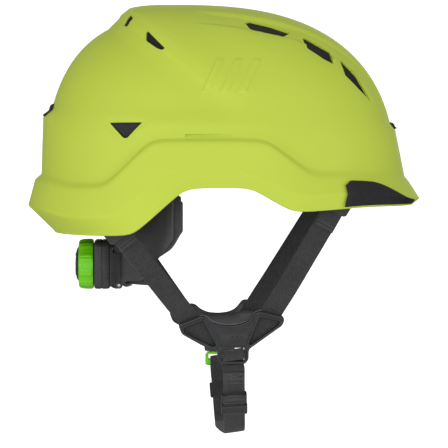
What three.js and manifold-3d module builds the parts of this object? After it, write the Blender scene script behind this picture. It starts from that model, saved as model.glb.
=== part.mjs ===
// Arborist helmet with a ratchet headband and a four-point chin strap.
// Millimetres. +X points to the wearer's front, +Y to the wearer's left, +Z up.
// The origin is the middle of the wearer's head at the height of the shell's ear cut-outs.
import * as THREE from "three";
import { mergeVertices } from "three/addons/utils/BufferGeometryUtils.js";
import Module from "manifold-3d";

const wasm = await Module();
wasm.setup();
const { sin, cos, abs, hypot, PI, sign, max, min } = Math;
const V = (x, y, z) => new THREE.Vector3(x, y, z);
const rad = THREE.MathUtils.degToRad;

// ---------- driving dimensions ----------
const SLACK = 0.4; // gap between pieces that touch
const dome = {
  middleX: -35.4, // where the widest section stands
  front: 167, // from middleX to the front wall
  rear: 101.8, // from middleX to the rear wall
  halfWidth: 104,
  crown: 139.5, // height of the raised crown
  crownStep: 8.8, // how far the crown stands above the rear dome
  planPower: 2.3,
  sidePower: 2.6,
  wall: 3,
};
const liner = { side: 15, ends: 20, crown: 24, gap: 2.2, edgeRise: 18 };
const rows = { around: 56, crownRows: 9 };
const webbing = { width: 16, thick: 1.6 };
const head = { x: -6.3, radius: 73.4 }; // the nape arc's upright axis and the racks' radius
const band = { frontReach: 95, radius: 75, thick: 1.6, low: 5, high: 29 };
const cradle = { radius: 78, thick: 2.5, halfAngle: 65.5 };
const ratchet = {
  z: -59, // height of the knob's axis
  pitchRadius: 6,
  teeth: 12,
  rackDepth: 6.3,
  rackThick: 1.6,
  shaftRadius: 3,
};
const housing = { depth: 11.8, width: 42, height: 36.8, corner: 5, cavity: 14.5, cavityDepth: 6 };
const knob = { radius: 19.4, depth: 11.5, lobes: 10, lobeDepth: 1.1, capRadius: 13, capDepth: 2.2 };
const harness = {
  // where the straps end inside the rim; "gap" is free space between the clip and the wall
  frontAnchor: { x: 83, z: -8, gap: 5.6 },
  rearAnchor: { x: -82, z: -28, gap: 9 },
  rightYoke: V(4, -60, -112),
  leftYoke: V(-2, -60, -112), // mirrored to the left side; its straps are set 6 mm further back
  plate: 3.2,
};
const chin = {
  pivot: V(5, -57.5, -133), // where the webbing bends under the right yoke
  foot: -184,
  legFoot: 34, // half the distance between the legs at the foot
  legTop: 57.5,
  leftTop: V(-2, 57.5, -133),
  bendRadius: 11,
};

// ---------- helpers ----------
const bend = (x, r) => (x + hypot(x, r)) / 2;
// 0 before a, 1 after b, straight between, with corners of size r
const ramp = (x, a, b, r = 6) => (bend(x - a, r) - bend(x - b, r)) / (b - a);
const clamp01 = (t) => max(0, min(1, t));
const smooth = (t) => clamp01(t) ** 2 * (3 - 2 * clamp01(t));
const mix = (a, b, t) => a + (b - a) * t;
const steps = (n, a = 0, b = 1) => Array.from({ length: n + 1 }, (_, i) => mix(a, b, i / n));
const signedPower = (v, e) => sign(v) * abs(v) ** e;

function geometryOf(positions, indices) {
  const g = new THREE.BufferGeometry();
  g.setAttribute("position", new THREE.Float32BufferAttribute(positions.flatMap((p) => [p.x, p.y, p.z]), 3));
  g.setIndex(indices);
  return g;
}

function signedVolume(points, indices) {
  let v = 0;
  for (let i = 0; i < indices.length; i += 3) {
    const [a, b, c] = [0, 1, 2].map((k) => points[indices[i + k]]);
    v += a.dot(b.clone().cross(c));
  }
  return v;
}

// A closed skin through rings of equal length, with a fan closing each end ring.
function loft(rings, { joined = false } = {}) {
  const n = rings[0].length;
  const points = rings.flat();
  const indices = [];
  const last = joined ? rings.length : rings.length - 1;
  for (let i = 0; i < last; i++)
    for (let j = 0; j < n; j++) {
      const [a, b] = [i * n + j, i * n + ((j + 1) % n)];
      const k = ((i + 1) % rings.length) * n;
      const [c, d] = [k + ((j + 1) % n), k + j];
      indices.push(a, b, c, a, c, d);
    }
  if (!joined)
    for (const end of [0, rings.length - 1]) {
      const middle = rings[end].reduce((s, p) => s.add(p), V(0, 0, 0)).divideScalar(n);
      points.push(middle);
      for (let j = 0; j < n; j++) {
        const edge = [end * n + j, end * n + ((j + 1) % n)];
        if (end === 0) edge.reverse();
        indices.push(points.length - 1, ...edge);
      }
    }
  if (signedVolume(points, indices) < 0)
    for (let i = 0; i < indices.length; i += 3)
      [indices[i + 1], indices[i + 2]] = [indices[i + 2], indices[i + 1]];
  return geometryOf(points, indices);
}

function solid(geometry) {
  const bare = geometry.index ? geometry.toNonIndexed() : geometry.clone();
  const g = new THREE.BufferGeometry().setAttribute("position", bare.getAttribute("position"));
  const m = mergeVertices(g, 1e-4);
  return new wasm.Manifold(
    new wasm.Mesh({
      numProp: 3,
      vertProperties: m.attributes.position.array,
      triVerts: new Uint32Array(m.index.array),
    }),
  );
}

function geometryFrom(manifold) {
  const m = manifold.getMesh();
  const g = new THREE.BufferGeometry();
  g.setAttribute("position", new THREE.BufferAttribute(new Float32Array(m.vertProperties), 3));
  g.setIndex(new THREE.BufferAttribute(new Uint32Array(m.triVerts), 1));
  return g;
}

const cut = (geometry, ...tools) =>
  geometryFrom(tools.reduce((s, t) => s.subtract(solid(t)), solid(geometry)));
const join = (...parts) =>
  geometryFrom(parts.slice(1).reduce((s, p) => s.add(solid(p)), solid(parts[0])));
const common = (a, b) => geometryFrom(solid(a).intersect(solid(b)));

function box(low, high) {
  const g = new THREE.BoxGeometry(high.x - low.x, high.y - low.y, high.z - low.z);
  return g.translate((low.x + high.x) / 2, (low.y + high.y) / 2, (low.z + high.z) / 2);
}

// The corners of a flat outline, turned the way its use needs.
function corners(pairs, clockwise) {
  const points = pairs.map(([x, y]) => new THREE.Vector2(x, y));
  return THREE.ShapeUtils.isClockWise(points) === clockwise ? points : points.reverse();
}

function extrude(pairs, depth, holes = []) {
  const shape = new THREE.Shape(corners(pairs, false));
  shape.holes = holes.map((h) => new THREE.Path(corners(h, true)));
  return new THREE.ExtrudeGeometry(shape, { depth, bevelEnabled: false, curveSegments: 6 });
}

// Places a flat drawing: its x runs along "right", its y along "up", its depth along their cross product.
function place(geometry, origin, right, up) {
  const out = right.clone().cross(up);
  return geometry.applyMatrix4(new THREE.Matrix4().makeBasis(right, up, out).setPosition(origin));
}

const rectangle = (w, h, x = 0, y = 0) => [
  [x - w / 2, y - h / 2],
  [x + w / 2, y - h / 2],
  [x + w / 2, y + h / 2],
  [x - w / 2, y + h / 2],
];

const mirrorY = (g) => geometryFrom(solid(g).mirror([0, 1, 0]));

// A cylinder or cone along +X from x0 to x1.
function roundBar(x0, x1, y, z, r, sides = 24) {
  const g = new THREE.CylinderGeometry(r, r, x1 - x0, sides).rotateZ(-PI / 2);
  return g.translate((x0 + x1) / 2, y, z);
}

// A flat band of webbing along a path; "across" is its width's direction and "out" its thickness'.
function ribbon(path, across, width = webbing.width, thick = webbing.thick) {
  const w = across.clone().normalize();
  return loft(
    path.map((p, i) => {
      const along = path[min(i + 1, path.length - 1)].clone().sub(path[max(i - 1, 0)]);
      const out = along.cross(w).normalize();
      return [
        [-1, -1],
        [1, -1],
        [1, 1],
        [-1, 1],
      ].map(([a, b]) =>
        p.clone().addScaledVector(w, (a * width) / 2).addScaledVector(out, (b * thick) / 2),
      );
    }),
  );
}

// ---------- the helmet's skin ----------
// Each level is a line round the shell: its height where the plain outline stands at x, and how far
// it stands out from that outline at the front, side and rear.
const rearRise = (x) => ramp(-x, 112, 135);
const levels = [
  {
    name: "rim",
    z: (x) => -33 + 36 * ramp(x, -69, -31) - 18.9 * ramp(x, 17, 47) + 3.9 * ramp(x, 50, 100),
    out: () => [14, 2.5, -7],
  },
  {
    name: "crease",
    z: (x) =>
      -21 + 8 * rearRise(x) + 36.5 * ramp(x, -82, -42) - 20.5 * ramp(x, 6, 50) +
      3 * ramp(x, 55, 95) - 7 * ramp(x, 100, 131),
    out: () => [18.6, 7, 13],
  },
  {
    name: "lip",
    z: (x) => lipHeight(x),
    out: () => [10.4, 4.5, 7.6],
  },
  {
    name: "ledge",
    z: (x) => lipHeight(x) + 4.7 - 1.8 * ramp(x, -88, -56) + 2.2 * ramp(x, 28, 60) - 0.7 * ramp(x, 100, 131),
    out: () => [7, 0.5, 2.8],
  },
  {
    name: "shoulder",
    z: (x) => 54 - 10 * ramp(x, 60, 125),
    out: (x) => [-0.2, -1 - 2 * ramp(x, -20, 60), 1.4],
  },
];
function lipHeight(x) {
  return 0.5 + 6.4 * rearRise(x) + 35.1 * ramp(x, -88, -56) - 27 * ramp(x, 28, 60) - 4.5 * ramp(x, 90, 131);
}
// The raised crown ends at a sloping plane that leans back over the rear dome.
const crownEdge = { nx: 0.643, nz: 0.766, low: -65.4, high: -49.3 };
// The vents lie in a shallow channel on each side of the crown.
const channel = {
  depth: 1.6,
  inner: (x) => 49 - 0.0018 * max(0, x) ** 2,
  outer: (x) => 63.5 - 0.0019 * max(0, x) ** 2,
};

function planAt(angle) {
  const [c, s] = [cos(angle), sin(angle)];
  const [u, v] = [signedPower(c, 2 / dome.planPower), signedPower(s, 2 / dome.planPower)];
  const reach = c > 0 ? dome.front : dome.rear;
  const normal = V(
    signedPower(u, dome.planPower - 1) / reach,
    signedPower(v, dome.planPower - 1) / dome.halfWidth,
    0,
  ).normalize();
  return { u: u * reach, v: v * dome.halfWidth, normal, front: max(0, c) ** 2, side: s * s, rear: max(0, -c) ** 2 };
}

const sizeAt = (z) => (1 - clamp01(z / dome.crown) ** dome.sidePower) ** (1 / dome.sidePower);

// A point on one of the levels, "inset" millimetres inside the outer skin.
function levelPoint(index, angle, inset = 0, rise = 0) {
  const plan = planAt(angle);
  const x = dome.middleX + plan.u;
  const [f, s, r] = levels[index].out(x);
  const out = f * plan.front + s * plan.side + r * plan.rear - inset;
  return V(x, plan.v, levels[index].z(x) + rise).addScaledVector(plan.normal, out);
}

// A point on the dome, from the top of the shoulder's chamfer (t = 0) to the crown (t = 1).
function domePoint(angle, t, inset = 0) {
  const plan = planAt(angle);
  const x0 = dome.middleX + plan.u;
  const chamfer = 9 * plan.rear + 3.5 * plan.side + 6 * plan.front;
  const startZ = levels[4].z(x0) + chamfer;
  const start = Math.asin((startZ / dome.crown) ** (dome.sidePower / 2));
  const turn = mix(start, PI / 2, t);
  const z = dome.crown * sin(turn) ** (2 / dome.sidePower);
  const size = abs(cos(turn)) ** (2 / dome.sidePower);
  const p = V(dome.middleX + plan.u * size, plan.v * size, z);
  // square to the dome, but level at its foot, so that an inset skin can't fold under the shoulder
  const slope = ((z / dome.crown) ** (dome.sidePower - 1) / dome.crown) * smooth(5 * t);
  const steep = max(size, 1e-3) ** (dome.sidePower - 1) / 120;
  const normal = plan.normal.clone().multiplyScalar(steep).setZ(slope).normalize();
  const lean = crownEdge.nx * p.x + crownEdge.nz * (p.z - dome.crown);
  const raised = clamp01((lean - crownEdge.low) / (crownEdge.high - crownEdge.low));
  const lowered = (dome.crownStep / dome.crown) * (1 - raised) * smooth((z - 40) / 30);
  p.z *= 1 - lowered;
  const [inner, outer] = [channel.inner(p.x), channel.outer(p.x)];
  const across = smooth((abs(p.y) - inner + 5) / 6) * (1 - smooth((abs(p.y) - outer + 2) / 2));
  const along = smooth((p.x + 30) / 30) * smooth((128 - p.x) / 10);
  return p.addScaledVector(normal, -inset - channel.depth * across * along);
}

const angles = Array.from({ length: rows.around }, (_, i) => (2 * PI * (i + 0.5)) / rows.around);
const levelRing = (index, inset, rise) => angles.map((a) => levelPoint(index, a, inset, rise));
const domeRing = (t, inset) => angles.map((a) => domePoint(a, t, typeof inset === "function" ? inset(a, t) : inset));

function shellSkin() {
  const crownSteps = steps(rows.crownRows, 0, 0.97);
  const innerSteps = steps(6, 0, 0.97);
  return loft([
    ...crownSteps.toReversed().map((t) => domeRing(t, 0)),
    ...[4, 3, 2, 1, 0].map((k) => levelRing(k, 0)),
    ...[0, 1, 2, 3, 4].map((k) => levelRing(k, dome.wall)),
    ...innerSteps.map((t) => domeRing(t, dome.wall)),
  ]);
}

// Vents, seen from the right side. Along: 1 at the front wall, -1 at the rear one. Up: 1 at the crown.
const vents = {
  crown_front: [
    [0.729, 0.684], [0.741, 0.682], [0.799, 0.606],
    [0.867, 0.469], [0.810, 0.539], [0.751, 0.609],
  ],
  crown_middle: [
    [0.560, 0.806], [0.573, 0.808], [0.680, 0.736],
    [0.692, 0.672], [0.649, 0.698], [0.580, 0.752],
  ],
  crown_rear: [
    [0.299, 0.892], [0.326, 0.897], [0.416, 0.870], [0.501, 0.838],
    [0.465, 0.816], [0.389, 0.838], [0.322, 0.857],
  ],
  step_corner: [
    [-0.222, 0.838], [-0.104, 0.749], [-0.127, 0.740],
    [-0.160, 0.751], [-0.236, 0.790], [-0.235, 0.831],
  ],
  step_back: [[-0.359, 0.942], [-0.342, 0.926], [-0.382, 0.887], [-0.397, 0.892]],
  side: [[-0.496, 0.353], [-0.270, 0.355], [-0.376, 0.277], [-0.400, 0.277]],
};

function skinCaster(geometry) {
  const skin = new THREE.Mesh(geometry, new THREE.MeshBasicMaterial({ side: THREE.DoubleSide }));
  skin.updateMatrixWorld(true);
  return (x, z) => {
    const ray = new THREE.Raycaster(V(x, -400, z), V(0, 1, 0));
    return ray.intersectObject(skin)[0].point;
  };
}

// A prism square to the skin through a vent's outline, grown by "grow".
function ventPrism(cast, pairs, grow = 0, depth = 26) {
  const spots = pairs.map(([along, up]) => {
    const reach = along > 0 ? dome.front : dome.rear;
    return cast(dome.middleX + along * reach, up * dome.crown);
  });
  const middle = spots.reduce((s, p) => s.add(p), V(0, 0, 0)).divideScalar(spots.length);
  const normal = V(0, 0, 0);
  spots.forEach((p, i) => {
    const q = spots[(i + 1) % spots.length];
    normal.add(p.clone().sub(middle).cross(q.clone().sub(middle)));
  });
  normal.normalize();
  if (normal.dot(V(0, -1, 0.2)) < 0) normal.negate();
  const ring = spots.map((p) => {
    const flat = p.clone().sub(middle);
    flat.addScaledVector(normal, -flat.dot(normal));
    return middle.clone().add(flat.multiplyScalar(1 + grow / flat.length()));
  });
  return loft([-depth / 2, depth / 2].map((d) => ring.map((p) => p.clone().addScaledVector(normal, d))));
}

// A curved plate over part of the levels: between two plan angles and two heights given as level shares.
function skinPatch(angleA, angleB, lower, upper, insetOut, insetIn, columns = 8, rowsUp = 3) {
  const at = (share, a, inset) => {
    const k = min(Math.floor(share), 3);
    return levelPoint(k, a, inset).lerp(levelPoint(k + 1, a, inset), share - k);
  };
  const sections = steps(columns, angleA, angleB).map((a, i) => {
    const t = i / columns;
    const shares = steps(rowsUp, lower(t), upper(t));
    return [
      ...shares.map((s) => at(s, a, insetOut)),
      ...shares.toReversed().map((s) => at(s, a, insetIn)),
    ];
  });
  return loft(sections);
}

// ---------- materials ----------
const paint = (color, roughness, metalness = 0) => new THREE.MeshStandardMaterial({ color, roughness, metalness });
const materials = {
  shell: paint(0xc4dc3c, 0.42),
  trim: paint(0x2b2b2d, 0.6),
  foam: paint(0x1c1c1e, 0.9),
  plastic: paint(0x333336, 0.5),
  webbing: paint(0x3a3a3b, 0.95),
  pad: paint(0x3b3b3d, 0.98),
  green: paint(0x5fd01e, 0.4),
  steel: paint(0x9a9ca0, 0.35, 1),
};

const helmet = new THREE.Group();
function add(name, geometry, material) {
  const mesh = new THREE.Mesh(geometry, material);
  mesh.name = name;
  helmet.add(mesh);
  return mesh;
}
function addPair(name, geometry, material) {
  add(`${name}_right`, geometry, material);
  add(`${name}_left`, mirrorY(geometry), material);
}

// ---------- shell, trim and liner ----------
const plainShell = shellSkin();
const castSkin = skinCaster(plainShell);
const ventTools = Object.values(vents).map((v) => ventPrism(castSkin, v));

// The pocket under the ledge that takes an ear defender's 30 mm blade.
const earSlot = { x: -14, width: 34, deep: 2.2, low: 36.2, high: 41 };
function earPocket() {
  const y = -(dome.halfWidth + 8);
  return box(V(earSlot.x - earSlot.width / 2, y, earSlot.low), V(earSlot.x + earSlot.width / 2, -(dome.halfWidth - earSlot.deep + 0.6), earSlot.high));
}

function buildShell() {
  const tools = [...ventTools, earPocket()];
  add("shell", cut(plainShell, ...tools, ...tools.map(mirrorY)), materials.shell);
}

function buildVentInserts() {
  const plate = skinPatch(rad(180 + 40), rad(180 + 92), () => 3.2, () => 3.97, 1.2, 2.7, 8, 1);
  addPair("side_vent_insert", common(plate, ventPrism(castSkin, vents.side, -0.8)), materials.trim);
}

function buildTrim() {
  const top = (t) => mix(0.85, 1.85, smooth((t - 0.05) / 0.65));
  const column = (k) => (-2 * PI * (k + 0.5)) / rows.around;
  const guard = skinPatch(column(7), column(2), () => 0.06, (t) => top(1 - t), -3.4, -2, 10, 4);
  addPair("brim_guard", guard, materials.trim);
}

// Small hooks at the front and back that hold a head lamp's strap, on the shoulder's chamfer.
function lampHook(middle, halfAngle, rise) {
  const at = (a, t, inset) => levelPoint(4, a, inset).lerp(domePoint(a, 0, inset), t);
  return loft(
    steps(4, middle - halfAngle, middle + halfAngle).map((a) => [
      ...steps(2, 0.08, rise).map((t) => at(a, t, -1.6)),
      ...steps(2, 0.08, rise).toReversed().map((t) => at(a, t, -SLACK)),
    ]),
  );
}

function linerInset(extra) {
  return (a, t) => {
    const plan = planAt(a);
    const walls = mix(liner.side, liner.ends, plan.front + plan.rear);
    return dome.wall + liner.gap + extra * mix(walls, liner.crown, smooth(t * 1.3));
  };
}

function buildLiner() {
  const bottom = (extra) =>
    angles.map((a) => {
      const p = levelPoint(3, a, linerInset(extra)(a, 0));
      const x = dome.middleX + planAt(a).u;
      return p.setZ(levels[0].z(x) + liner.edgeRise);
    });
  const wall = (k, extra) => angles.map((a) => levelPoint(k, a, linerInset(extra)(a, 0)));
  const outer = steps(6, 0, 0.97).toReversed().map((t) => domeRing(t, linerInset(0)));
  const inner = steps(5, 0.1, 0.95).map((t) => domeRing(t, linerInset(1)));
  add(
    "foam_liner",
    loft([...outer, wall(4, 0), wall(3, 0), bottom(0), bottom(1), wall(3, 1), ...inner]),
    materials.foam,
  );
}

// ---------- headband and pads ----------
// The band is a half ellipse at the front and an arc round the nape axis behind it.
function headRing(angle, radius) {
  const reach = cos(angle) > 0 ? radius + (band.frontReach - band.radius) : radius;
  return V(head.x + reach * cos(angle), radius * sin(angle), 0);
}
// A wall that follows the head: from angle a to b, with its radii and its lower and upper edge by angle.
function headWall(a, b, radiusIn, radiusOut, low, high, columns) {
  return loft(
    steps(columns, a, b).map((angle) => {
      const [pIn, pOut] = [headRing(angle, radiusIn), headRing(angle, radiusOut)];
      return [
        pIn.clone().setZ(low(angle)),
        pOut.clone().setZ(low(angle)),
        pOut.clone().setZ(high(angle)),
        pIn.clone().setZ(high(angle)),
      ];
    }),
  );
}

function buildHeadband() {
  const dip = (a) => 9 * max(0, cos(a)) ** 2;
  const end = rad(180 - pivot.deg + 6);
  const [rIn, rOut] = [band.radius, band.radius + band.thick];
  const wall = headWall(-end, end, rIn, rOut, (a) => band.low - dip(a), (a) => band.high - dip(a), 32);
  add("headband", cut(wall, ...pivotHole(0.3)), materials.plastic);
  const pad = rad(58);
  add(
    "brow_pad",
    headWall(-pad, pad, rIn - 4.4, rIn - SLACK, (a) => band.low - dip(a) - 3, (a) => band.high - dip(a) - 3, 14),
    materials.pad,
  );
  // Hangers clip the band's top edge to the foam.
  for (const [name, at] of [["front_right", -38], ["front_left", 38], ["rear_right", -104], ["rear_left", 104]]) {
    const [a, b] = [rad(at - 5), rad(at + 5)];
    const top = (angle) => band.high - dip(angle) + SLACK;
    add(`band_hanger_${name}`, headWall(a, b, rIn - 0.4, rIn + 3, top, (angle) => top(angle) + 9, 2), materials.plastic);
  }
}

function crownPad(x0, x1, y0, y1) {
  const peak = dome.crown - dome.wall - liner.gap - liner.crown - 2.8;
  const halfSpan = dome.halfWidth - dome.wall - liner.gap - liner.side;
  const top = (x, y) => peak - 34 * hypot((x + 10) / (1.4 * halfSpan), y / halfSpan) ** 2.4;
  const xs = steps(3, x0, x1);
  return loft(
    xs.map((x) => [
      ...steps(2, y0, y1).map((y) => V(x, y, top(x, y) - 9)),
      ...steps(2, y1, y0).map((y) => V(x, y, top(x, y) - 3)),
    ]),
  );
}

function buildCrownPads() {
  add("crown_pad_middle", crownPad(-52, 40, -11, 11), materials.pad);
  addPair("crown_pad_side", crownPad(-40, 28, -38, -20), materials.pad);
}

// ---------- nape cradle ----------
const napeAngle = (deg) => rad(180 - deg);
function napePoint(radius, deg, z) {
  return V(head.x + radius * cos(napeAngle(deg)), radius * sin(napeAngle(deg)), z);
}
// An arc-shaped plate between two nape angles; low and high are its edges by angle in degrees.
function napePlate(radiusIn, radiusOut, from, to, low, high, columns) {
  return loft(
    steps(columns, from, to).map((deg) => [
      napePoint(radiusIn, deg, low(deg)),
      napePoint(radiusOut, deg, low(deg)),
      napePoint(radiusOut, deg, high(deg)),
      napePoint(radiusIn, deg, high(deg)),
    ]),
  );
}
// Two parts of one nape piece mirrored about the middle share this profile in |angle|.
const byAngle = (pairs) => (deg) => {
  const d = abs(deg);
  const i = pairs.findIndex(([x]) => x >= d);
  if (i <= 0) return pairs[i === 0 ? 0 : pairs.length - 1][1];
  const [[x0, y0], [x1, y1]] = [pairs[i - 1], pairs[i]];
  return mix(y0, y1, (d - x0) / (x1 - x0));
};
const cradleLow = byAngle([[0, -77], [18, -77], [30, -70], [45.5, -69], [54, -54], [62, -44], [65.5, -36]]);
const cradleHigh = byAngle([[0, -42], [20, -42], [34, -32], [44, 4], [50, 21], [61, 21], [65.5, 14]]);
const pivot = { deg: 56, z: 14, radius: 2.5 };
const screwSpots = [[-15.5, 12.5], [15.5, 12.5], [-15.5, -12.5], [15.5, -12.5]];
const cradleBack = head.x - cradle.radius - cradle.thick; // x of the cradle's back at the middle

function pivotPin() {
  const p = napePoint(cradle.radius, pivot.deg, pivot.z);
  const shank = new THREE.CylinderGeometry(pivot.radius, pivot.radius, 11, 16).translate(p.x, -(p.y + 1.6), p.z);
  const headDisc = new THREE.CylinderGeometry(5, 5, 1.6, 16).translate(p.x, -(p.y + 7.4), p.z);
  return join(shank, headDisc);
}
function pivotHole(grow) {
  const p = napePoint(cradle.radius, pivot.deg, pivot.z);
  const r = pivot.radius + grow;
  const hole = new THREE.CylinderGeometry(r, r, 30, 16).translate(p.x, -p.y, p.z);
  return [hole, mirrorY(hole)];
}

function buildCradle() {
  const plate = napePlate(cradle.radius, cradle.radius + cradle.thick, -cradle.halfAngle, cradle.halfAngle, cradleLow, cradleHigh, 32);
  const holes = screwSpots.map(([y, z]) => roundBar(-100, -60, y, ratchet.z + z, 1.6, 12));
  const shaftHole = roundBar(-100, -60, 0, ratchet.z, 8.6, 24);
  add("nape_cradle", cut(plate, ...holes, shaftHole, ...pivotHole(0.3)), materials.plastic);
  const padLow = byAngle([[38, -50], [54, -52], [64, -44], [70, -30]]);
  const padHigh = byAngle([[38, -30], [48, -6], [64, -4], [70, -10]]);
  const [rIn, rOut] = [cradle.radius - 3.2, cradle.radius - SLACK];
  const pad = napePlate(rIn, rOut, -70, -40, padLow, padHigh, 7);
  addPair("side_pad", pad, materials.pad);
  // the nape pad's rolled edges reach over the racks to the cradle
  const [inside, face, edge] = [head.radius - 6.4, head.radius - 2, cradle.radius - SLACK];
  const strip = (outside, low, high) => napePlate(inside, outside, -30, 30, () => low, () => high, 12);
  add("nape_pad", join(strip(face, -77, -42.4), strip(edge, -77, -74.8), strip(edge, -44, -42.4)), materials.pad);
}

function buildBandEnds() {
  addPair("cradle_pin", pivotPin(), materials.plastic);
}

// ---------- ratchet ----------
const axisZ = ratchet.z;
const housingBack = cradleBack - SLACK - 0.6 - housing.depth;
function roundedRectangle(w, h, r, n = 4) {
  const points = [];
  for (const [cx, cy, start] of [[1, -1, -90], [1, 1, 0], [-1, 1, 90], [-1, -1, 180]])
    for (const a of steps(n, start, start + 90))
      points.push([cx * (w / 2 - r) + r * cos(rad(a)), cy * (h / 2 - r) + r * sin(rad(a))]);
  return points;
}
// Extrudes a (y, z) outline round the knob's axis along +X from x0.
const axial = (pairs, x0, depth, holes) =>
  place(extrude(pairs, depth, holes), V(x0, 0, axisZ), V(0, 1, 0), V(0, 0, 1));

function gearOutline(teeth, pitch, tipAdd, rootCut, share) {
  const points = [];
  for (let i = 0; i < teeth; i++) {
    const middle = (2 * PI * i) / teeth + PI / 2;
    const half = (PI / teeth) * share;
    const [tip, root] = [pitch + tipAdd, pitch - rootCut];
    for (const [r, a] of [[root, -1.25 * half], [tip, -0.55 * half], [tip, 0.55 * half], [root, 1.25 * half]])
      points.push([r * cos(middle + a), r * sin(middle + a)]);
  }
  return points;
}

function knobOutline(radius, depth) {
  return Array.from({ length: knob.lobes * 6 }, (_, i) => {
    const a = (2 * PI * i) / (knob.lobes * 6);
    const r = radius - depth * smooth((1 + cos(knob.lobes * a)) / 2);
    return [r * cos(a), r * sin(a)];
  });
}

function rack(side) {
  // side +1: the left tail, above the pinion with teeth down; -1: the right tail, below with teeth up
  const { pitchRadius, rackDepth, rackThick } = ratchet;
  const pitchDeg = THREE.MathUtils.radToDeg((2 * PI * pitchRadius) / ratchet.teeth / head.radius);
  const [rIn, rOut] = [head.radius - rackThick / 2, head.radius + rackThick / 2];
  const base = axisZ + side * (pitchRadius + 1.2);
  const back = base + side * rackDepth;
  const edges = (deg) => (side > 0 ? [base, back] : [back, base]);
  const [toothed, far] = [9 * pitchDeg, 48];
  const strip = napePlate(rIn, rOut, side > 0 ? -toothed : -far, side > 0 ? far : toothed, (d) => edges(d)[0], (d) => edges(d)[1], 28);
  const teeth = [];
  for (let i = -8; i <= 8; i++) {
    const middle = (i + 0.5) * pitchDeg;
    const half = pitchDeg * 0.2;
    const tip = axisZ + side * (pitchRadius - 0.55);
    const ring = (deg, reach) => [
      napePoint(rIn, deg, base + side * 0.5),
      napePoint(rOut, deg, base + side * 0.5),
      napePoint(rOut, deg, reach),
      napePoint(rIn, deg, reach),
    ];
    teeth.push(loft([ring(middle - half, tip), ring(middle + half, tip)]));
  }
  return join(strip, ...teeth);
}

function buildRatchet() {
  const { depth, width, height, corner, cavity, cavityDepth } = housing;
  const block = axial(roundedRectangle(width, height, corner), housingBack, depth);
  const tools = [
    roundBar(housingBack + depth - cavityDepth, -60, 0, axisZ, cavity, 32),
    roundBar(-130, -60, 0, axisZ, ratchet.shaftRadius + 0.35, 24),
    ...screwSpots.map(([y, z]) => roundBar(housingBack + 3, -60, y, axisZ + z, 1.6, 12)),
  ];
  add("ratchet_housing", cut(block, ...tools), materials.plastic);

  const knobFront = housingBack - 0.6;
  const grip = axial(knobOutline(knob.radius, knob.lobeDepth), knobFront - knob.depth, knob.depth);
  const bore = roundBar(-200, -60, 0, axisZ, ratchet.shaftRadius + 0.35, 24);
  const dish = roundBar(-200, knobFront - knob.depth + 2.5, 0, axisZ, knob.capRadius + SLACK, 32);
  add("knob_grip", cut(grip, bore, dish), materials.green);
  const capFront = knobFront - knob.depth + 2.5 - SLACK;
  const cap = new THREE.LatheGeometry(
    [[0, 0], [knob.capRadius, 0], [knob.capRadius, 2.6], [knob.capRadius * 0.6, 2.6 + knob.capDepth * 0.8], [0, 2.6 + knob.capDepth]].map(([r, h]) => new THREE.Vector2(r, h)),
    28,
  );
  cap.rotateZ(PI / 2).translate(capFront, 0, axisZ);
  add("knob_cap", geometryFrom(solid(cap)), materials.trim);

  const pinionX = head.x - head.radius;
  const gear = axial(gearOutline(ratchet.teeth, ratchet.pitchRadius, 0.65, 1, 0.5), pinionX - 1.6, 3.2);
  const shaft = roundBar(capFront + SLACK, pinionX + 1.6, 0, axisZ, ratchet.shaftRadius, 16);
  add("pinion_shaft", join(gear, shaft), materials.plastic);
  // The click spring: a disc with two bowed arms that ride in the housing's cavity.
  const discX = housingBack + depth - cavityDepth + 1.2;
  const arms = Array.from({ length: 48 }, (_, i) => {
    const a = (2 * PI * i) / 48;
    const r = 8.5 + 4.6 * smooth((cos(2 * a) - 0.4) / 0.6);
    return [r * cos(a), r * sin(a)];
  });
  const hole = steps(20, 0, 2 * PI).slice(0, -1).map((a) => [(ratchet.shaftRadius + 0.35) * cos(a), -(ratchet.shaftRadius + 0.35) * sin(a)]);
  add("click_spring", axial(arms, discX, 2, [hole]), materials.steel);

  add("rack_left", rack(1), materials.plastic);
  add("rack_right", rack(-1), materials.plastic);
  screwSpots.forEach(([y, z], i) => {
    const inside = head.x - Math.sqrt(cradle.radius ** 2 - (abs(y) + 2.6) ** 2) + SLACK;
    const shank = roundBar(housingBack + 4, inside + 0.4, y, axisZ + z, 1.2, 10);
    const screwHead = roundBar(inside, inside + 1.5, y, axisZ + z, 2.5, 12);
    add(`housing_screw_${i + 1}`, join(shank, screwHead), materials.steel);
  });
}

// ---------- side harness ----------
// The flat plane that holds one yoke and its two straps.
function harnessPlane(yoke, frontAnchor, rearAnchor) {
  const upward = frontAnchor.clone().add(rearAnchor).multiplyScalar(0.5).sub(yoke);
  const out = frontAnchor.clone().sub(rearAnchor).cross(upward).normalize();
  if (out.y > 0) out.negate();
  const right = V(0, 0, 1).cross(out).negate().normalize();
  if (right.x < 0) right.negate();
  const up = out.clone().cross(right).normalize();
  if (up.z < 0) up.negate();
  const normal = right.clone().cross(up);
  // side-view x and z of a point become its place in the plane, measured from the yoke's middle
  const flat = (x, z) => {
    const v = z / up.z;
    return [(x - v * up.x) / right.x, v];
  };
  const spot = (u, v, w = 0) => yoke.clone().addScaledVector(right, u).addScaledVector(up, v).addScaledVector(normal, w);
  const local = (p) => {
    const d = p.clone().sub(yoke);
    return [d.dot(right), d.dot(up)];
  };
  return { yoke, right, up, normal, flat, spot, local };
}

// The yoke's outline, in side view from its middle, going round clockwise from the rear bar.
const yokeTop = [
  [-40, 11], [-22.4, 18], [-18.7, 17], [-15, 13.5], [-9, 11], [-0.8, 10.4], [7, 11.4], [12, 13.6], [15.2, 17],
  [17.8, 20.4], [21, 21.2], [38.3, 17], [39.6, 14.4], [38.3, 10],
];
const yokeTail = [[-21, -5.6], [-37.3, 3.7]];
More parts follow.
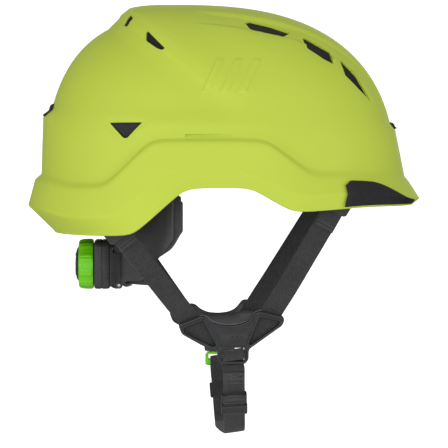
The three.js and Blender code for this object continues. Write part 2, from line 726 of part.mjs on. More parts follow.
// The bars at both ends of the straps frame a window each; the right yoke's foot has two slots.
const windows = {
  rear: [[-35.6, 8.6], [-21.8, 14.2], [-11.4, -5], [-14, -5.8], [-35.6, 5.2]],
  front: [[21.2, 16.6], [36, 13.2], [35.6, 10.6], [15.2, -4.6], [13, -4.2]],
};
const foot = { middle: 1.4, halfWidth: webbing.width / 2 + 0.8, upper: [-10.4, -7.8], lower: [-17, -14.2] };
const footSides = [foot.middle + foot.halfWidth + 2.8, foot.middle - foot.halfWidth - 3.2];
const yokeFoot = {
  right: [
    [footSides[0], -8.2], [footSides[0], -15.8], [footSides[0] - 2.6, -19.4],
    [footSides[1] + 2.6, -19.4], [footSides[1], -16], [footSides[1], -9],
  ],
  left: [[footSides[0], -8.2], [footSides[1], -9]],
};
const footSlot = ([low, high]) => rectangle(2 * foot.halfWidth, high - low, foot.middle, (low + high) / 2);
const strapHolds = { rear: [-28, 9.5], front: [28, 15.2] };

function buildSide(side) {
  const isRight = side === "right";
  const [frontAnchor, rearAnchor] = [harness.frontAnchor, harness.rearAnchor].map(({ x, z, gap }) =>
    V(x, castSkin(x, z).y + dome.wall + gap + webbing.width / 3, z),
  );
  const plane = harnessPlane(isRight ? harness.rightYoke : harness.leftYoke, frontAnchor, rearAnchor);
  const flip = (g) => (isRight ? g : mirrorY(g));
  const toPlane = (pairs) => pairs.map(([x, z]) => plane.flat(x, z));
  const half = harness.plate / 2;
  const laid = (pairs, w0, depth, holes) =>
    place(extrude(toPlane(pairs), depth, holes?.map(toPlane)), plane.spot(0, 0, w0), plane.right, plane.up);
  const edge = [...yokeTop, ...yokeFoot[side], ...yokeTail];
  const footSlots = isRight ? [footSlot(foot.upper), footSlot(foot.lower)] : [];
  const holes = [windows.rear, windows.front, ...footSlots];
  add(`yoke_${side}`, flip(laid(edge, -half, harness.plate, holes)), materials.plastic);

  // "inner" is the side of the yoke towards the neck
  const inner = plane.normal.y < 0 ? -1 : 1;
  const strapW = inner * (half + SLACK + webbing.thick / 2);
  for (const [name, anchor] of [["front", frontAnchor], ["rear", rearAnchor]]) {
    const from = plane.flat(...strapHolds[name]);
    const to = plane.local(anchor);
    const length = hypot(to[0] - from[0], to[1] - from[1]);
    const [du, dv] = [(to[0] - from[0]) / length, (to[1] - from[1]) / length];
    const across = plane.right.clone().multiplyScalar(dv).addScaledVector(plane.up, -du);
    // behind the yoke the strap lies on its inner face; above it, it eases back to the plane
    const path = [-13, -2, 8, 20, length * 0.6, length].map((d) =>
      plane.spot(from[0] + du * d, from[1] + dv * d, strapW * (1 - smooth((d - 6) / 24))),
    );
    add(`${name}_strap_${side}`, flip(ribbon(path, across)), materials.webbing);
    // the clip that holds the strap's top end inside the rim
    const clipSection = (d, grow) => {
      const c = plane.spot(to[0] + du * d, to[1] + dv * d);
      return [[-1, -1], [1, -1], [1, 1], [-1, 1]].map(([a, b]) =>
        c.clone().addScaledVector(across.clone().normalize(), a * (webbing.width / 2 + grow)).addScaledVector(plane.normal, b * (webbing.thick / 2 + grow)),
      );
    };
    const block = loft([clipSection(-9, 2.6), clipSection(6, 2.6)]);
    const pocket = loft([clipSection(-12, SLACK), clipSection(SLACK, SLACK)]);
    add(`${name}_anchor_${side}`, flip(cut(block, pocket)), materials.plastic);
  }
  const plateW = inner > 0 ? half + 2 * SLACK + webbing.thick : -(half + 2 * SLACK + webbing.thick + 1.8);
  const cover = [[-30, 3], [-20, 9], [-14, 8], [13, 9], [20, 13], [32, 10], [12, -5.2], [-11, -6]];
  add(`yoke_cover_${side}`, flip(laid(cover, plateW, 1.8)), materials.plastic);
  return plane;
}

// ---------- chin strap and buckle ----------
// Half of the strap's path, seen from the front: a straight leg that meets the foot's bend.
function chinLeg(side) {
  const top = side === "right" ? chin.pivot : chin.leftTop;
  const out = side === "right" ? -1 : 1;
  const [cornerY, cornerZ] = [chin.legFoot - chin.bendRadius, chin.foot + chin.bendRadius];
  const [a, b] = [abs(top.y) - cornerY, top.z - cornerZ];
  const slant = Math.acos(chin.bendRadius / hypot(a, b)) - Math.atan2(b, a);
  const length = b * cos(slant) + a * sin(slant);
  const xAt = (share) => mix(top.x, (chin.pivot.x + chin.leftTop.x) / 2, share);
  // a point "down" millimetres below the leg's top, on the webbing's middle moved out by "offset"
  const at = (down, offset = 0) => {
    const y = abs(top.y) - down * sin(slant) + offset * cos(slant);
    return V(xAt((0.7 * down) / length), out * y, top.z - down * cos(slant) - offset * sin(slant));
  };
  // the bend, from the leg's end (t = 0) to the flat foot (t = 1)
  const corner = (t, offset = 0) => {
    const [turn, r] = [mix(-slant, -PI / 2, t), chin.bendRadius + offset];
    return V(xAt(0.7 + 0.2 * t), out * (cornerY + r * cos(turn)), cornerZ + r * sin(turn));
  };
  return { at, corner, down: (z) => (top.z - z) / cos(slant) };
}
const rightLeg = chinLeg("right");
const leftLeg = chinLeg("left");
const bendPath = (offset) => [
  ...steps(4).map((t) => rightLeg.corner(t, offset)),
  ...steps(4).toReversed().map((t) => leftLeg.corner(t, offset)),
];

// A square-cornered sleeve round a leg, centred at height z, with walls "wall" thick.
function sleeve(leg, z, height, wall, extra) {
  const lap = webbing.thick + 0.3;
  const here = leg.at(leg.down(z), lap / 2);
  const up = leg.at(leg.down(z) - 5, lap / 2).sub(here).normalize();
  const across = V(1, 0, 0).addScaledVector(up, -up.x).normalize();
  const [w, t] = [webbing.width + 2 * SLACK + extra, lap + webbing.thick + 2 * SLACK];
  const ring = extrude(rectangle(w + 2 * wall, t + 2 * wall), height, [rectangle(w, t)]);
  return place(ring, here.addScaledVector(up, -height / 2), across, up.clone().cross(across));
}

// The sewn loop goes over the bar between the right yoke's foot slots and down behind its end bar.
function footLoop(plane) {
  const { upper, lower } = foot;
  const [top, low] = [(upper[0] + upper[1]) / 2, (lower[0] + lower[1]) / 2];
  const face = harness.plate / 2 + SLACK + 0.75;
  const path = [
    [lower[0] - 3.2, -face - 1.8], [top - 1.9, -face - 1.8], [top - 0.4, -face - 1.2], [top, -face + 0.2],
    [top, face - 1.8], [top - 0.4, face - 0.4], [top - 1.5, face], [low + 1.5, face], [low + 0.4, face - 0.4],
    [low, face - 1.8], [low, -face + 1.4], [low - 0.4, -face + 0.2], [low - 1.6, -face], [lower[0] - 3.2, -face],
  ];
  const outward = plane.normal.y < 0 ? 1 : -1;
  const points = path.map(([z, w]) => plane.spot(...plane.flat(foot.middle, z), w * outward));
  return ribbon(points, plane.right, webbing.width, 1.5);
}

function buildChinStrap(rightPlane) {
  const across = V(1, 0, 0);
  const lap = webbing.thick + 0.3;
  const near = [rightLeg.at(1.2), rightLeg.at(rightLeg.down(-158))];
  const far = [-158, -148].map((z) => leftLeg.at(leftLeg.down(z)));
  add("chin_strap", ribbon([...near, ...bendPath(0), ...far, leftLeg.at(3.4)], across), materials.webbing);
  const tailStart = rightLeg.at(rightLeg.down(-154.5), lap);
  const tailEnd = leftLeg.at(leftLeg.down(-152), lap);
  add("strap_tail", ribbon([tailStart, ...bendPath(lap), tailEnd], across), materials.webbing);
  add("strap_loop", footLoop(rightPlane), materials.webbing);
  add("strap_slider", sleeve(rightLeg, -157.2, 7.4, 1.6, 0.4), materials.plastic);
  add("slider_keeper", sleeve(rightLeg, -166, 8, 0.8, 0), materials.webbing);
  add("tail_keeper", sleeve(leftLeg, -160, 11, 0.8, 0), materials.webbing);
}

const buckle = { mouth: -131.5, socketTall: 9.8, tongueThick: 2.6, rim: 3 };
function buildBuckle() {
  const { mouth, socketTall, tongueThick, rim } = buckle;
  const width = webbing.width + 2 * rim;
  const [tongueWidth, windowHalf] = [width - 5.5, webbing.width / 2 + 0.8];
  const [x, y] = [chin.leftTop.x, chin.leftTop.y + 1.2];
  const upright = (pairs, z0, depth) => extrude(pairs, depth).translate(x, y, z0);
  // plug: a frame that the webbing loops through, with a tongue that enters the socket
  const frame = upright(rectangle(width, 6.4), mouth - 11.4, 11);
  const window = box(V(x - windowHalf, y - 12, mouth - 9.4), V(x + windowHalf, y + 0.9, mouth - 1.9));
  const tongue = upright(rectangle(tongueWidth, tongueThick), mouth - 1, socketTall - 1.4);
  const catchHole = box(V(x - 4, y - 5, mouth + 2.6), V(x + 4, y + 5, mouth + 5.6));
  add("buckle_plug", cut(join(frame, tongue), window, catchHole), materials.green);
  const pocket = upright(rectangle(tongueWidth + 1.2, tongueThick + 2), mouth - 1, socketTall - 0.8);
  const body = upright(roundedRectangle(width + 2, 8.4, 2, 2), mouth, socketTall);
  add("buckle_socket", cut(body, pocket), materials.plastic);
}

// ---------- assembly ----------
buildShell();
buildVentInserts();
buildTrim();
add("front_lamp_hook", lampHook(0, rad(9), 0.95), materials.trim);
add("rear_lamp_hook", lampHook(PI, rad(12), 0.98), materials.trim);
buildLiner();
buildHeadband();
buildCrownPads();
buildCradle();
buildBandEnds();
buildRatchet();
const rightPlane = buildSide("right");
buildSide("left");
buildChinStrap(rightPlane);
buildBuckle();

export default helmet;
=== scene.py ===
"""An arborist helmet: the fine visual model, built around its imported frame."""

import math

import bmesh
import bpy
import numpy as np
from mathutils import Matrix, Vector
from mathutils.bvhtree import BVHTree


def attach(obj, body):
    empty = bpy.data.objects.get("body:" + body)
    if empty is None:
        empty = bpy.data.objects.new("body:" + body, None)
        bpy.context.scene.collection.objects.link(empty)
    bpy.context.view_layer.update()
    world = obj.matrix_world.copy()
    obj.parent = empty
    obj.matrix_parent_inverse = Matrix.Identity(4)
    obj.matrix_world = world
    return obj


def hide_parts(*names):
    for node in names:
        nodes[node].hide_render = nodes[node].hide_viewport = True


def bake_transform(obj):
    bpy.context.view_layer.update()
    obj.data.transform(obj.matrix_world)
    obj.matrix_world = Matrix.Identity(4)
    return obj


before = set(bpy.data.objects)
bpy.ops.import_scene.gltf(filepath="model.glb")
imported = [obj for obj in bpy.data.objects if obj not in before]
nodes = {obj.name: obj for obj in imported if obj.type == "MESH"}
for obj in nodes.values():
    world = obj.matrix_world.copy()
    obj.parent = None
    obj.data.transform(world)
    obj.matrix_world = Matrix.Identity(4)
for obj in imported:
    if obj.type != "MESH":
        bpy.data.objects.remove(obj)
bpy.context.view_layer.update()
MM = 0.001

# ---------- camera ----------
VIEW_AZIMUTH, VIEW_HEIGHT, VIEW_DISTANCE = math.radians(-1.5), math.radians(2.2), 2.0
VIEW_TARGET = Vector((0.0, 0.0, -0.0285))
VIEW_WIDTH = 0.345  # metres across the frame at the target
SENSOR = 36.0


def place_camera():
    camera = bpy.data.objects.new("camera", bpy.data.cameras.new("camera"))
    bpy.context.scene.collection.objects.link(camera)
    back = Vector(
        (
            math.sin(VIEW_AZIMUTH) * math.cos(VIEW_HEIGHT),
            -math.cos(VIEW_AZIMUTH) * math.cos(VIEW_HEIGHT),
            math.sin(VIEW_HEIGHT),
        )
    )
    camera.location = VIEW_TARGET + back * VIEW_DISTANCE
    camera.rotation_euler = back.to_track_quat("Z", "Y").to_euler()
    camera.data.sensor_width = SENSOR
    camera.data.lens = SENSOR * VIEW_DISTANCE / VIEW_WIDTH
    bpy.context.scene.camera = camera


place_camera()


# ---------- small maths ----------
def bend(x, r):
    return (x + np.hypot(x, r)) / 2


def ramp(x, a, b, r=6.0):
    """0 before a, 1 after b, straight between, with corners of size r."""
    return (bend(x - a, r) - bend(x - b, r)) / (b - a)


def smooth(t):
    t = np.clip(t, 0, 1)
    return t * t * (3 - 2 * t)


def mix(a, b, t):
    return a + (b - a) * t


def signed_power(v, e):
    return np.sign(v) * np.abs(v) ** e


def unit(v):
    v = np.asarray(v, float)
    return v / np.maximum(np.linalg.norm(v, axis=-1, keepdims=True), 1e-9)


# ---------- materials ----------
def new_material(name, colour, roughness):
    material = bpy.data.materials.new(name)
    material.use_nodes = True
    shader = material.node_tree.nodes["Principled BSDF"]
    shader.inputs["Base Color"].default_value = (*linear(colour), 1)
    shader.inputs["Roughness"].default_value = roughness
    return material, material.node_tree, shader


def linear(colour):
    """A display colour, 0 to 255, as the shader wants it."""
    shares = [c / 255 for c in colour]
    return tuple(c / 12.92 if c <= 0.04045 else ((c + 0.055) / 1.055) ** 2.4 for c in shares)


def node(tree, kind, **settings):
    made = tree.nodes.new(kind)
    for key, value in settings.items():
        if key in made.inputs:
            made.inputs[key].default_value = value
        else:
            setattr(made, key, value)
    return made


def object_points(tree, scale=(1, 1, 1)):
    coordinates = node(tree, "ShaderNodeTexCoord")
    mapping = node(tree, "ShaderNodeMapping", Scale=scale)
    tree.links.new(coordinates.outputs["Object"], mapping.inputs["Vector"])
    return mapping.outputs["Vector"]


def noise(tree, vector, scale, detail=3.0, rough=0.5):
    made = node(tree, "ShaderNodeTexNoise", Scale=scale, Detail=detail, Roughness=rough)
    tree.links.new(vector, made.inputs["Vector"])
    return made.outputs["Fac"]


def spread(tree, factor, low, high, in_low=0.3, in_high=0.7):
    made = node(tree, "ShaderNodeMapRange")
    made.inputs["From Min"].default_value = in_low
    made.inputs["From Max"].default_value = in_high
    made.inputs["To Min"].default_value = low
    made.inputs["To Max"].default_value = high
    tree.links.new(factor, made.inputs["Value"])
    return made.outputs["Result"]


def vary_colour(tree, shader, factor, first, second):
    made = node(tree, "ShaderNodeMix", data_type="RGBA")
    made.inputs["A"].default_value = (*linear(first), 1)
    made.inputs["B"].default_value = (*linear(second), 1)
    tree.links.new(factor, made.inputs["Factor"])
    tree.links.new(made.outputs["Result"], shader.inputs["Base Color"])


def add_bump(tree, shader, height, distance, strength=1.0, under=None):
    made = node(tree, "ShaderNodeBump", Distance=distance, Strength=strength)
    tree.links.new(height, made.inputs["Height"])
    if under:
        tree.links.new(under.outputs["Normal"], made.inputs["Normal"])
    tree.links.new(made.outputs["Normal"], shader.inputs["Normal"])
    return made


def moulded_shell():
    """Satin high-visibility plastic with the faint orange peel of a moulding."""
    material, tree, shader = new_material("moulded_shell", (200, 219, 80), 0.4)
    points = object_points(tree)
    vary_colour(tree, shader, noise(tree, points, 14), (197, 216, 76), (205, 223, 86))
    rough = spread(tree, noise(tree, points, 60, 4), 0.44, 0.54)
    tree.links.new(rough, shader.inputs["Roughness"])
    fine = add_bump(tree, shader, noise(tree, points, 1500, 1), 0.00004, 0.35)
    add_bump(tree, shader, noise(tree, points, 160, 2), 0.0002, 0.08, fine)
    shader.inputs["Specular IOR Level"].default_value = 0.12
    shader.inputs["Subsurface Weight"].default_value = 0.05
    shader.inputs["Subsurface Scale"].default_value = 0.002
    return material


def moulded_plastic(name, colour, roughness, grain=900, depth=0.00008, shine=0.4):
    """Spark-eroded black or coloured plastic."""
    material, tree, shader = new_material(name, colour, roughness)
    points = object_points(tree)
    lighter = tuple(min(255, c * 1.1 + 3) for c in colour)
    darker = tuple(c * 0.9 for c in colour)
    vary_colour(tree, shader, noise(tree, points, 25, 4), darker, lighter)
    rough = spread(tree, noise(tree, points, 90, 4), roughness - 0.06, roughness + 0.08)
    tree.links.new(rough, shader.inputs["Roughness"])
    add_bump(tree, shader, noise(tree, points, grain, 3, 0.6), depth, 0.5)
    shader.inputs["Specular IOR Level"].default_value = shine
    return material


def soft_rubber():
    material, tree, shader = new_material("soft_rubber", (36, 36, 38), 0.62)
    points = object_points(tree)
    vary_colour(tree, shader, noise(tree, points, 30), (31, 31, 33), (42, 42, 44))
    add_bump(tree, shader, noise(tree, points, 2200, 2), 0.00005, 0.5)
    shader.inputs["Specular IOR Level"].default_value = 0.3
    return material


WEAVE_ACROSS, WEAVE_ALONG = 1.15, 0.95  # mm between yarns


def woven_webbing(name, colour):
    """Flat polyester webbing: a brick-like weave of yarns read from the strap's own UV map, in mm."""
    material, tree, shader = new_material(name, colour, 0.85)
    uv = node(tree, "ShaderNodeUVMap", uv_map="weave")
    weave = node(tree, "ShaderNodeTexBrick", Scale=1.0, offset=0.5, squash=1.0)
    weave.inputs["Brick Width"].default_value = 2 * WEAVE_ACROSS
    weave.inputs["Row Height"].default_value = WEAVE_ALONG
    weave.inputs["Mortar Size"].default_value = 0.16
    weave.inputs["Mortar Smooth"].default_value = 1.0
    weave.inputs["Color1"].default_value = (*linear(colour), 1)
    weave.inputs["Color2"].default_value = (*linear(tuple(c * 1.14 + 2 for c in colour)), 1)
    weave.inputs["Mortar"].default_value = (*linear(tuple(c * 0.72 for c in colour)), 1)
    tree.links.new(uv.outputs["UV"], weave.inputs["Vector"])
    points = object_points(tree)
    wear = node(tree, "ShaderNodeMix", data_type="RGBA", blend_type="OVERLAY")
    wear.inputs["Factor"].default_value = 0.35
    tree.links.new(weave.outputs["Color"], wear.inputs["A"])
    shade = node(tree, "ShaderNodeCombineColor")
    cloudy = spread(tree, noise(tree, points, 55, 5), 0.38, 0.62)
    for channel in ("Red", "Green", "Blue"):
        tree.links.new(cloudy, shade.inputs[channel])
    tree.links.new(shade.outputs["Color"], wear.inputs["B"])
    tree.links.new(wear.outputs["Result"], shader.inputs["Base Color"])
    height = node(tree, "ShaderNodeMath", operation="SUBTRACT")
    height.inputs[0].default_value = 1.0
    tree.links.new(weave.outputs["Fac"], height.inputs[1])
    yarns = add_bump(tree, shader, height.outputs["Value"], 0.00022, 0.9)
    add_bump(tree, shader, noise(tree, points, 1800, 2), 0.00008, 0.5, yarns)
    shader.inputs["Sheen Weight"].default_value = 0.25
    shader.inputs["Sheen Roughness"].default_value = 0.5
    shader.inputs["Specular IOR Level"].default_value = 0.2
    return material


def knit_pad():
    """Brushed knit over foam: small round loops and a soft sheen."""
    material, tree, shader = new_material("knit_pad", (70, 70, 73), 0.95)
    points = object_points(tree)
    loops = node(tree, "ShaderNodeTexVoronoi", Scale=900.0)
    tree.links.new(points, loops.inputs["Vector"])
    vary_colour(tree, shader, noise(tree, points, 120, 4), (60, 60, 63), (82, 82, 85))
    add_bump(tree, shader, loops.outputs["Distance"], 0.0003, 0.6)
    shader.inputs["Sheen Weight"].default_value = 0.4
    shader.inputs["Specular IOR Level"].default_value = 0.15
    return material


def bead_foam():
    """Moulded bead foam: flattened beads with dark joints."""
    material, tree, shader = new_material("bead_foam", (34, 34, 36), 0.85)
    points = object_points(tree)
    beads = node(tree, "ShaderNodeTexVoronoi", Scale=330.0, feature="DISTANCE_TO_EDGE")
    tree.links.new(points, beads.inputs["Vector"])
    joints = spread(tree, beads.outputs["Distance"], 0, 1, 0, 0.12)
    vary_colour(tree, shader, joints, (22, 22, 24), (40, 40, 43))
    add_bump(tree, shader, joints, 0.0004, 0.7)
    shader.inputs["Specular IOR Level"].default_value = 0.25
    return material


def plated_steel():
    material, tree, shader = new_material("plated_steel", (170, 172, 176), 0.32)
    points = object_points(tree, (60, 900, 900))
    shader.inputs["Metallic"].default_value = 1.0
    rough = spread(tree, noise(tree, points, 1, 4), 0.25, 0.45)
    tree.links.new(rough, shader.inputs["Roughness"])
    return material


SHELL = moulded_shell()
SCREEN = moulded_plastic("vent_screen", (27, 27, 28), 0.6, 1400, 0.0005, 0.3)
RUBBER = soft_rubber()
PLASTIC = moulded_plastic("harness_plastic", (50, 50, 52), 0.34)
HOUSING_PLASTIC = moulded_plastic("housing_plastic", (54, 54, 56), 0.48)
CAP_PLASTIC = moulded_plastic("cap_plastic", (42, 42, 44), 0.38)
BAND_PLASTIC = moulded_plastic("band_plastic", (66, 66, 68), 0.5)
GREEN = moulded_plastic("grip_plastic", (114, 214, 14), 0.38, shine=0.4)
WEBBING = woven_webbing("webbing", (56, 56, 57))
WEBBING_EDGE = woven_webbing("keeper_webbing", (50, 50, 52))
THREAD = moulded_plastic("thread", (92, 92, 94), 0.7, shine=0.2)
PAD = knit_pad()
FOAM = bead_foam()
STEEL = plated_steel()


# ---------- meshes ----------
def make_piece(name, points, faces, material, crease=38, uvs=None):
    """A mesh piece from points in mm. uvs, if given, has one pair for each corner of each face."""
    mesh = bpy.data.meshes.new(name)
    mesh.from_pydata((np.asarray(points, float) * MM).tolist(), [], [list(map(int, f)) for f in faces])
    if uvs is not None:
        layer = mesh.uv_layers.new(name="weave")
        layer.data.foreach_set("uv", np.asarray(uvs, np.float32).ravel())
    mesh.validate()
    piece = bpy.data.objects.new(name, mesh)
    bpy.context.scene.collection.objects.link(piece)
    mesh.materials.append(material)
    finish_surface(piece, crease)
    return piece


def finish_surface(piece, crease):
    mesh = piece.data
    mesh.polygons.foreach_set("use_smooth", [True] * len(mesh.polygons))
    mesh.set_sharp_from_angle(angle=math.radians(crease))
    mesh.update()


def turn_outwards(piece):
    work = bmesh.new()
    work.from_mesh(piece.data)
    bmesh.ops.remove_doubles(work, verts=work.verts, dist=1e-6)
    bmesh.ops.recalc_face_normals(work, faces=work.faces)
    work.to_mesh(piece.data)
    work.free()
    return piece


def apply_modifiers(piece):
    """Turns a piece with its modifiers into a plain mesh."""
    bpy.context.view_layer.update()
    shown = piece.evaluated_get(bpy.context.evaluated_depsgraph_get())
    mesh = bpy.data.meshes.new_from_object(shown)
    mesh.name = piece.name
    piece.modifiers.clear()
    piece.data = mesh
    return piece


def grid_faces(rows, columns, wrap=False, offset=0):
    faces = []
    last = columns if wrap else columns - 1
    for i in range(rows - 1):
        for j in range(last):
            a, b = i * columns + j, i * columns + (j + 1) % columns
            faces.append((offset + a, offset + b, offset + b + columns, offset + a + columns))
    return faces


def loft(name, rings, material, crease=38, closed=False, levels=0):
    """A closed skin through rings of equal length; the end rings are capped unless it closes on itself."""
    rings = np.asarray(rings, float)
    count, size = rings.shape[:2]
    points = rings.reshape(-1, 3)
    faces = grid_faces(count, size, wrap=True)
    if closed:
        start = (count - 1) * size
        faces += [(start + j, start + (j + 1) % size, (j + 1) % size, j) for j in range(size)]
    else:
        faces += [tuple(range(size))[::-1], tuple((count - 1) * size + j for j in range(size))]
    piece = make_piece(name, points, faces, material, crease)
    turn_outwards(piece)
    if levels:
        subdivide(piece, levels)
    finish_surface(piece, crease)
    return piece


def subdivide(piece, levels):
    modifier = piece.modifiers.new("subdivision", "SUBSURF")
    modifier.levels = modifier.render_levels = levels
    return apply_modifiers(piece)


def round_edges(piece, width, segments=3, angle=30):
    modifier = piece.modifiers.new("round", "BEVEL")
    modifier.width = width * MM
    modifier.segments = segments
    modifier.limit_method = "ANGLE"
    modifier.angle_limit = math.radians(angle)
    modifier.use_clamp_overlap = True
    apply_modifiers(piece)
    finish_surface(piece, 50)
    return piece


def boolean(piece, tools, operation="DIFFERENCE"):
    for tool in tools:
        modifier = piece.modifiers.new("cut", "BOOLEAN")
        modifier.operation = operation
        modifier.solver = "MANIFOLD"
        modifier.object = tool
    apply_modifiers(piece)
    for tool in tools:
        bpy.data.objects.remove(tool)
    return piece


def joined(name, pieces):
    """One piece from several, keeping their materials."""
    work = bmesh.new()
    materials = []
    for piece in pieces:
        start = len(work.faces)
        work.from_mesh(piece.data)
        work.faces.ensure_lookup_table()
        slots = []
        for material in piece.data.materials:
            if material not in materials:
                materials.append(material)
            slots.append(materials.index(material))
        for face in work.faces[start:]:
            face.material_index = slots[min(face.material_index, len(slots) - 1)]
    mesh = bpy.data.meshes.new(name)
    work.to_mesh(mesh)
    work.free()
    for material in materials:
        mesh.materials.append(material)
    for piece in pieces:
        bpy.data.objects.remove(piece)
    made = bpy.data.objects.new(name, mesh)
    bpy.context.scene.collection.objects.link(made)
    return made


def box_piece(name, low, high, material, rounding=0.0, segments=3):
    low, high = np.minimum(low, high), np.maximum(low, high)
    corners = [(x, y, z) for z in (low[2], high[2]) for y in (low[1], high[1]) for x in (low[0], high[0])]
    faces = [(0, 2, 3, 1), (4, 5, 7, 6), (0, 1, 5, 4), (2, 6, 7, 3), (1, 3, 7, 5), (0, 4, 6, 2)]
    piece = make_piece(name, corners, faces, material)
    return round_edges(piece, rounding, segments) if rounding else piece


def rounded(corners, radius, count=5):
    """The corners of a flat outline turned into short arcs."""
    corners = np.asarray(corners, float)
    points = []
    for k, corner in enumerate(corners):
        before, after = corners[k - 1] - corner, corners[(k + 1) % len(corners)] - corner
        reach = min(radius, 0.45 * np.linalg.norm(before), 0.45 * np.linalg.norm(after))
        start, end = corner + unit(before) * reach, corner + unit(after) * reach
        for t in np.linspace(0, 1, count):
            points.append((1 - t) ** 2 * start + 2 * t * (1 - t) * corner + t * t * end)
    return np.array(points)


def flat_plate(name, outline, depth, material, bevel=0.4, holes=(), low=0.0):
    """A plate in its own drawing plane (x, y in mm), from height low to low + depth, with rounded rims."""
    curve = bpy.data.curves.new(name, "CURVE")
    curve.dimensions = "2D"
    curve.fill_mode = "BOTH"
    for loop in (outline, *holes):
        spline = curve.splines.new("POLY")
        spline.points.add(len(loop) - 1)
        for point, (x, y) in zip(spline.points, loop):
            point.co = (x * MM, y * MM, 0, 1)
        spline.use_cyclic_u = True
    curve.extrude = (depth / 2 - bevel) * MM
    curve.bevel_depth = bevel * MM
    curve.bevel_resolution = 2
    curve.offset = -bevel * MM
    drawn = bpy.data.objects.new(name, curve)
    bpy.context.scene.collection.objects.link(drawn)
    bpy.context.view_layer.update()
    mesh = bpy.data.meshes.new_from_object(drawn.evaluated_get(bpy.context.evaluated_depsgraph_get()))
    bpy.data.objects.remove(drawn)
    mesh.transform(Matrix.Translation((0, 0, (low + depth / 2) * MM)))
    mesh.materials.clear()
    mesh.materials.append(material)
    piece = bpy.data.objects.new(name, mesh)
    bpy.context.scene.collection.objects.link(piece)
    turn_outwards(piece)
    finish_surface(piece, 45)
    return piece


def lay_down(piece, origin, right, up):
    """Moves a flat drawing so that its x runs along right and its y along up. The origin is in mm."""
    right, up = Vector(right), Vector(up)
    out = right.cross(up)
    turn = Matrix((right, up, out)).transposed().to_4x4()
    turn.translation = Vector(origin) * MM
    piece.data.transform(turn)
    piece.data.update()
    return piece


def mirrored(piece, name):
    """A copy on the other side of the helmet."""
    mesh = piece.data.copy()
    mesh.transform(Matrix.Diagonal((1, -1, 1, 1)))
    mesh.flip_normals()
    mesh.name = name
    copy = bpy.data.objects.new(name, mesh)
    bpy.context.scene.collection.objects.link(copy)
    return copy


def turned_piece(name, profile, axis_z, material, count=64, waves=None):
    """A body turned about the knob's axis: profile is (x, radius) in mm; waves changes a radius by angle."""
    angles = np.linspace(0, 2 * np.pi, count, endpoint=False)
    rings = []
    for x, radius in profile:
        r = np.full(count, float(radius))
        if waves is not None:
            r = waves(x, r, angles)
        rings.append(np.stack([np.full(count, x), r * np.cos(angles), axis_z + r * np.sin(angles)], 1))
    return loft(name, rings, material, 35)


# ---------- paths and ribbons ----------
def along(points, step=1.5):
    """A smooth line through points, with its points about step mm apart."""
    points = np.asarray(points, float)
    ends = [2 * points[0] - points[1]], [2 * points[-1] - points[-2]]
    padded = np.concatenate([ends[0], points, ends[1]])
    fine = []
    for k in range(1, len(padded) - 2):
        p0, p1, p2, p3 = padded[k - 1 : k + 3]
        chord = max(np.linalg.norm(p2 - p1), 1e-6)
        m1 = (p2 - p0) * chord / max(np.linalg.norm(p2 - p1) + np.linalg.norm(p1 - p0), 1e-6)
        m2 = (p3 - p1) * chord / max(np.linalg.norm(p3 - p2) + np.linalg.norm(p2 - p1), 1e-6)
        for t in np.linspace(0, 1, 12, endpoint=False)[:, None]:
            t2, t3 = t * t, t * t * t
            fine.append(
                (
                    (2 * t3 - 3 * t2 + 1) * p1 + (t3 - 2 * t2 + t) * m1 + (3 * t2 - 2 * t3) * p2
                    + (t3 - t2) * m2
                )
            )
    fine.append(padded[-2][None, :].repeat(1, 0)[0])
    fine = np.array([np.asarray(p).reshape(3) for p in fine])
    walked = np.concatenate([[0], np.cumsum(np.linalg.norm(np.diff(fine, axis=0), axis=1))])
    spots = np.linspace(0, walked[-1], max(3, int(round(walked[-1] / step)) + 1))
    return np.stack([np.interp(spots, walked, fine[:, k]) for k in range(3)], 1)


def strap_section(width, thick, count=4):
    """Half-round edges and a slightly crowned face: (across, out) pairs round the strap."""
    w, t = width / 2 - thick / 2, thick / 2
    right = [
        (w + t * math.cos(a), t * math.sin(a)) for a in np.linspace(-math.pi / 2, math.pi / 2, count + 1)
    ]
    left = [
        (-w + t * math.cos(a), t * math.sin(a)) for a in np.linspace(math.pi / 2, 1.5 * math.pi, count + 1)
    ]
    inner = [(w * s, t * (1 + 0.12 * (1 - s * s))) for s in (0.5, 0, -0.5)]
    outer = [(w * s, -t * (1 + 0.12 * (1 - s * s))) for s in (-0.5, 0, 0.5)]
    return np.array([*right, *inner, *left, *outer])


def ribbon(name, path, across, width, thick, material, step=1.5, resample=True, fray=0.0, seed=3):
    """Webbing along a path in mm. across is its width's direction, one for all or one for each point."""
    line = along(path, step) if resample else np.asarray(path, float)
    across = np.broadcast_to(np.asarray(across, float), line.shape) if np.ndim(across) == 1 else across
    tangent = unit(np.gradient(line, axis=0))
    side = unit(across - tangent * np.sum(across * tangent, axis=1, keepdims=True))
    out = np.cross(tangent, side)
    section = strap_section(width, thick)
    count = len(section)
    wobble = np.random.default_rng(seed).normal(0, fray, len(line))[:, None] if fray else 0.0
    rings = line[:, None] + (side[:, None] * section[None, :, :1]) + (out[:, None] * section[None, :, 1:])
    rings = rings + (side * wobble)[:, None] if fray else rings
    faces = grid_faces(len(line), count, wrap=True)
    caps = [tuple(range(count))[::-1], tuple((len(line) - 1) * count + j for j in range(count))]
    walked = np.concatenate([[0], np.cumsum(np.linalg.norm(np.diff(line, axis=0), axis=1))])
    girth = np.concatenate(
        [[0], np.cumsum(np.linalg.norm(np.diff(section, axis=0, append=section[:1]), axis=1))]
    )
    uvs = []
    for i in range(len(line) - 1):
        for j in range(count):
            a, b = girth[j], girth[j + 1]
            uvs += [(a, walked[i]), (b, walked[i]), (b, walked[i + 1]), (a, walked[i + 1])]
    uvs += [(section[j][0], 0) for j in range(count)][::-1] + [(section[j][0], 0) for j in range(count)]
    return make_piece(name, rings.reshape(-1, 3), faces + caps, material, 60, uvs)


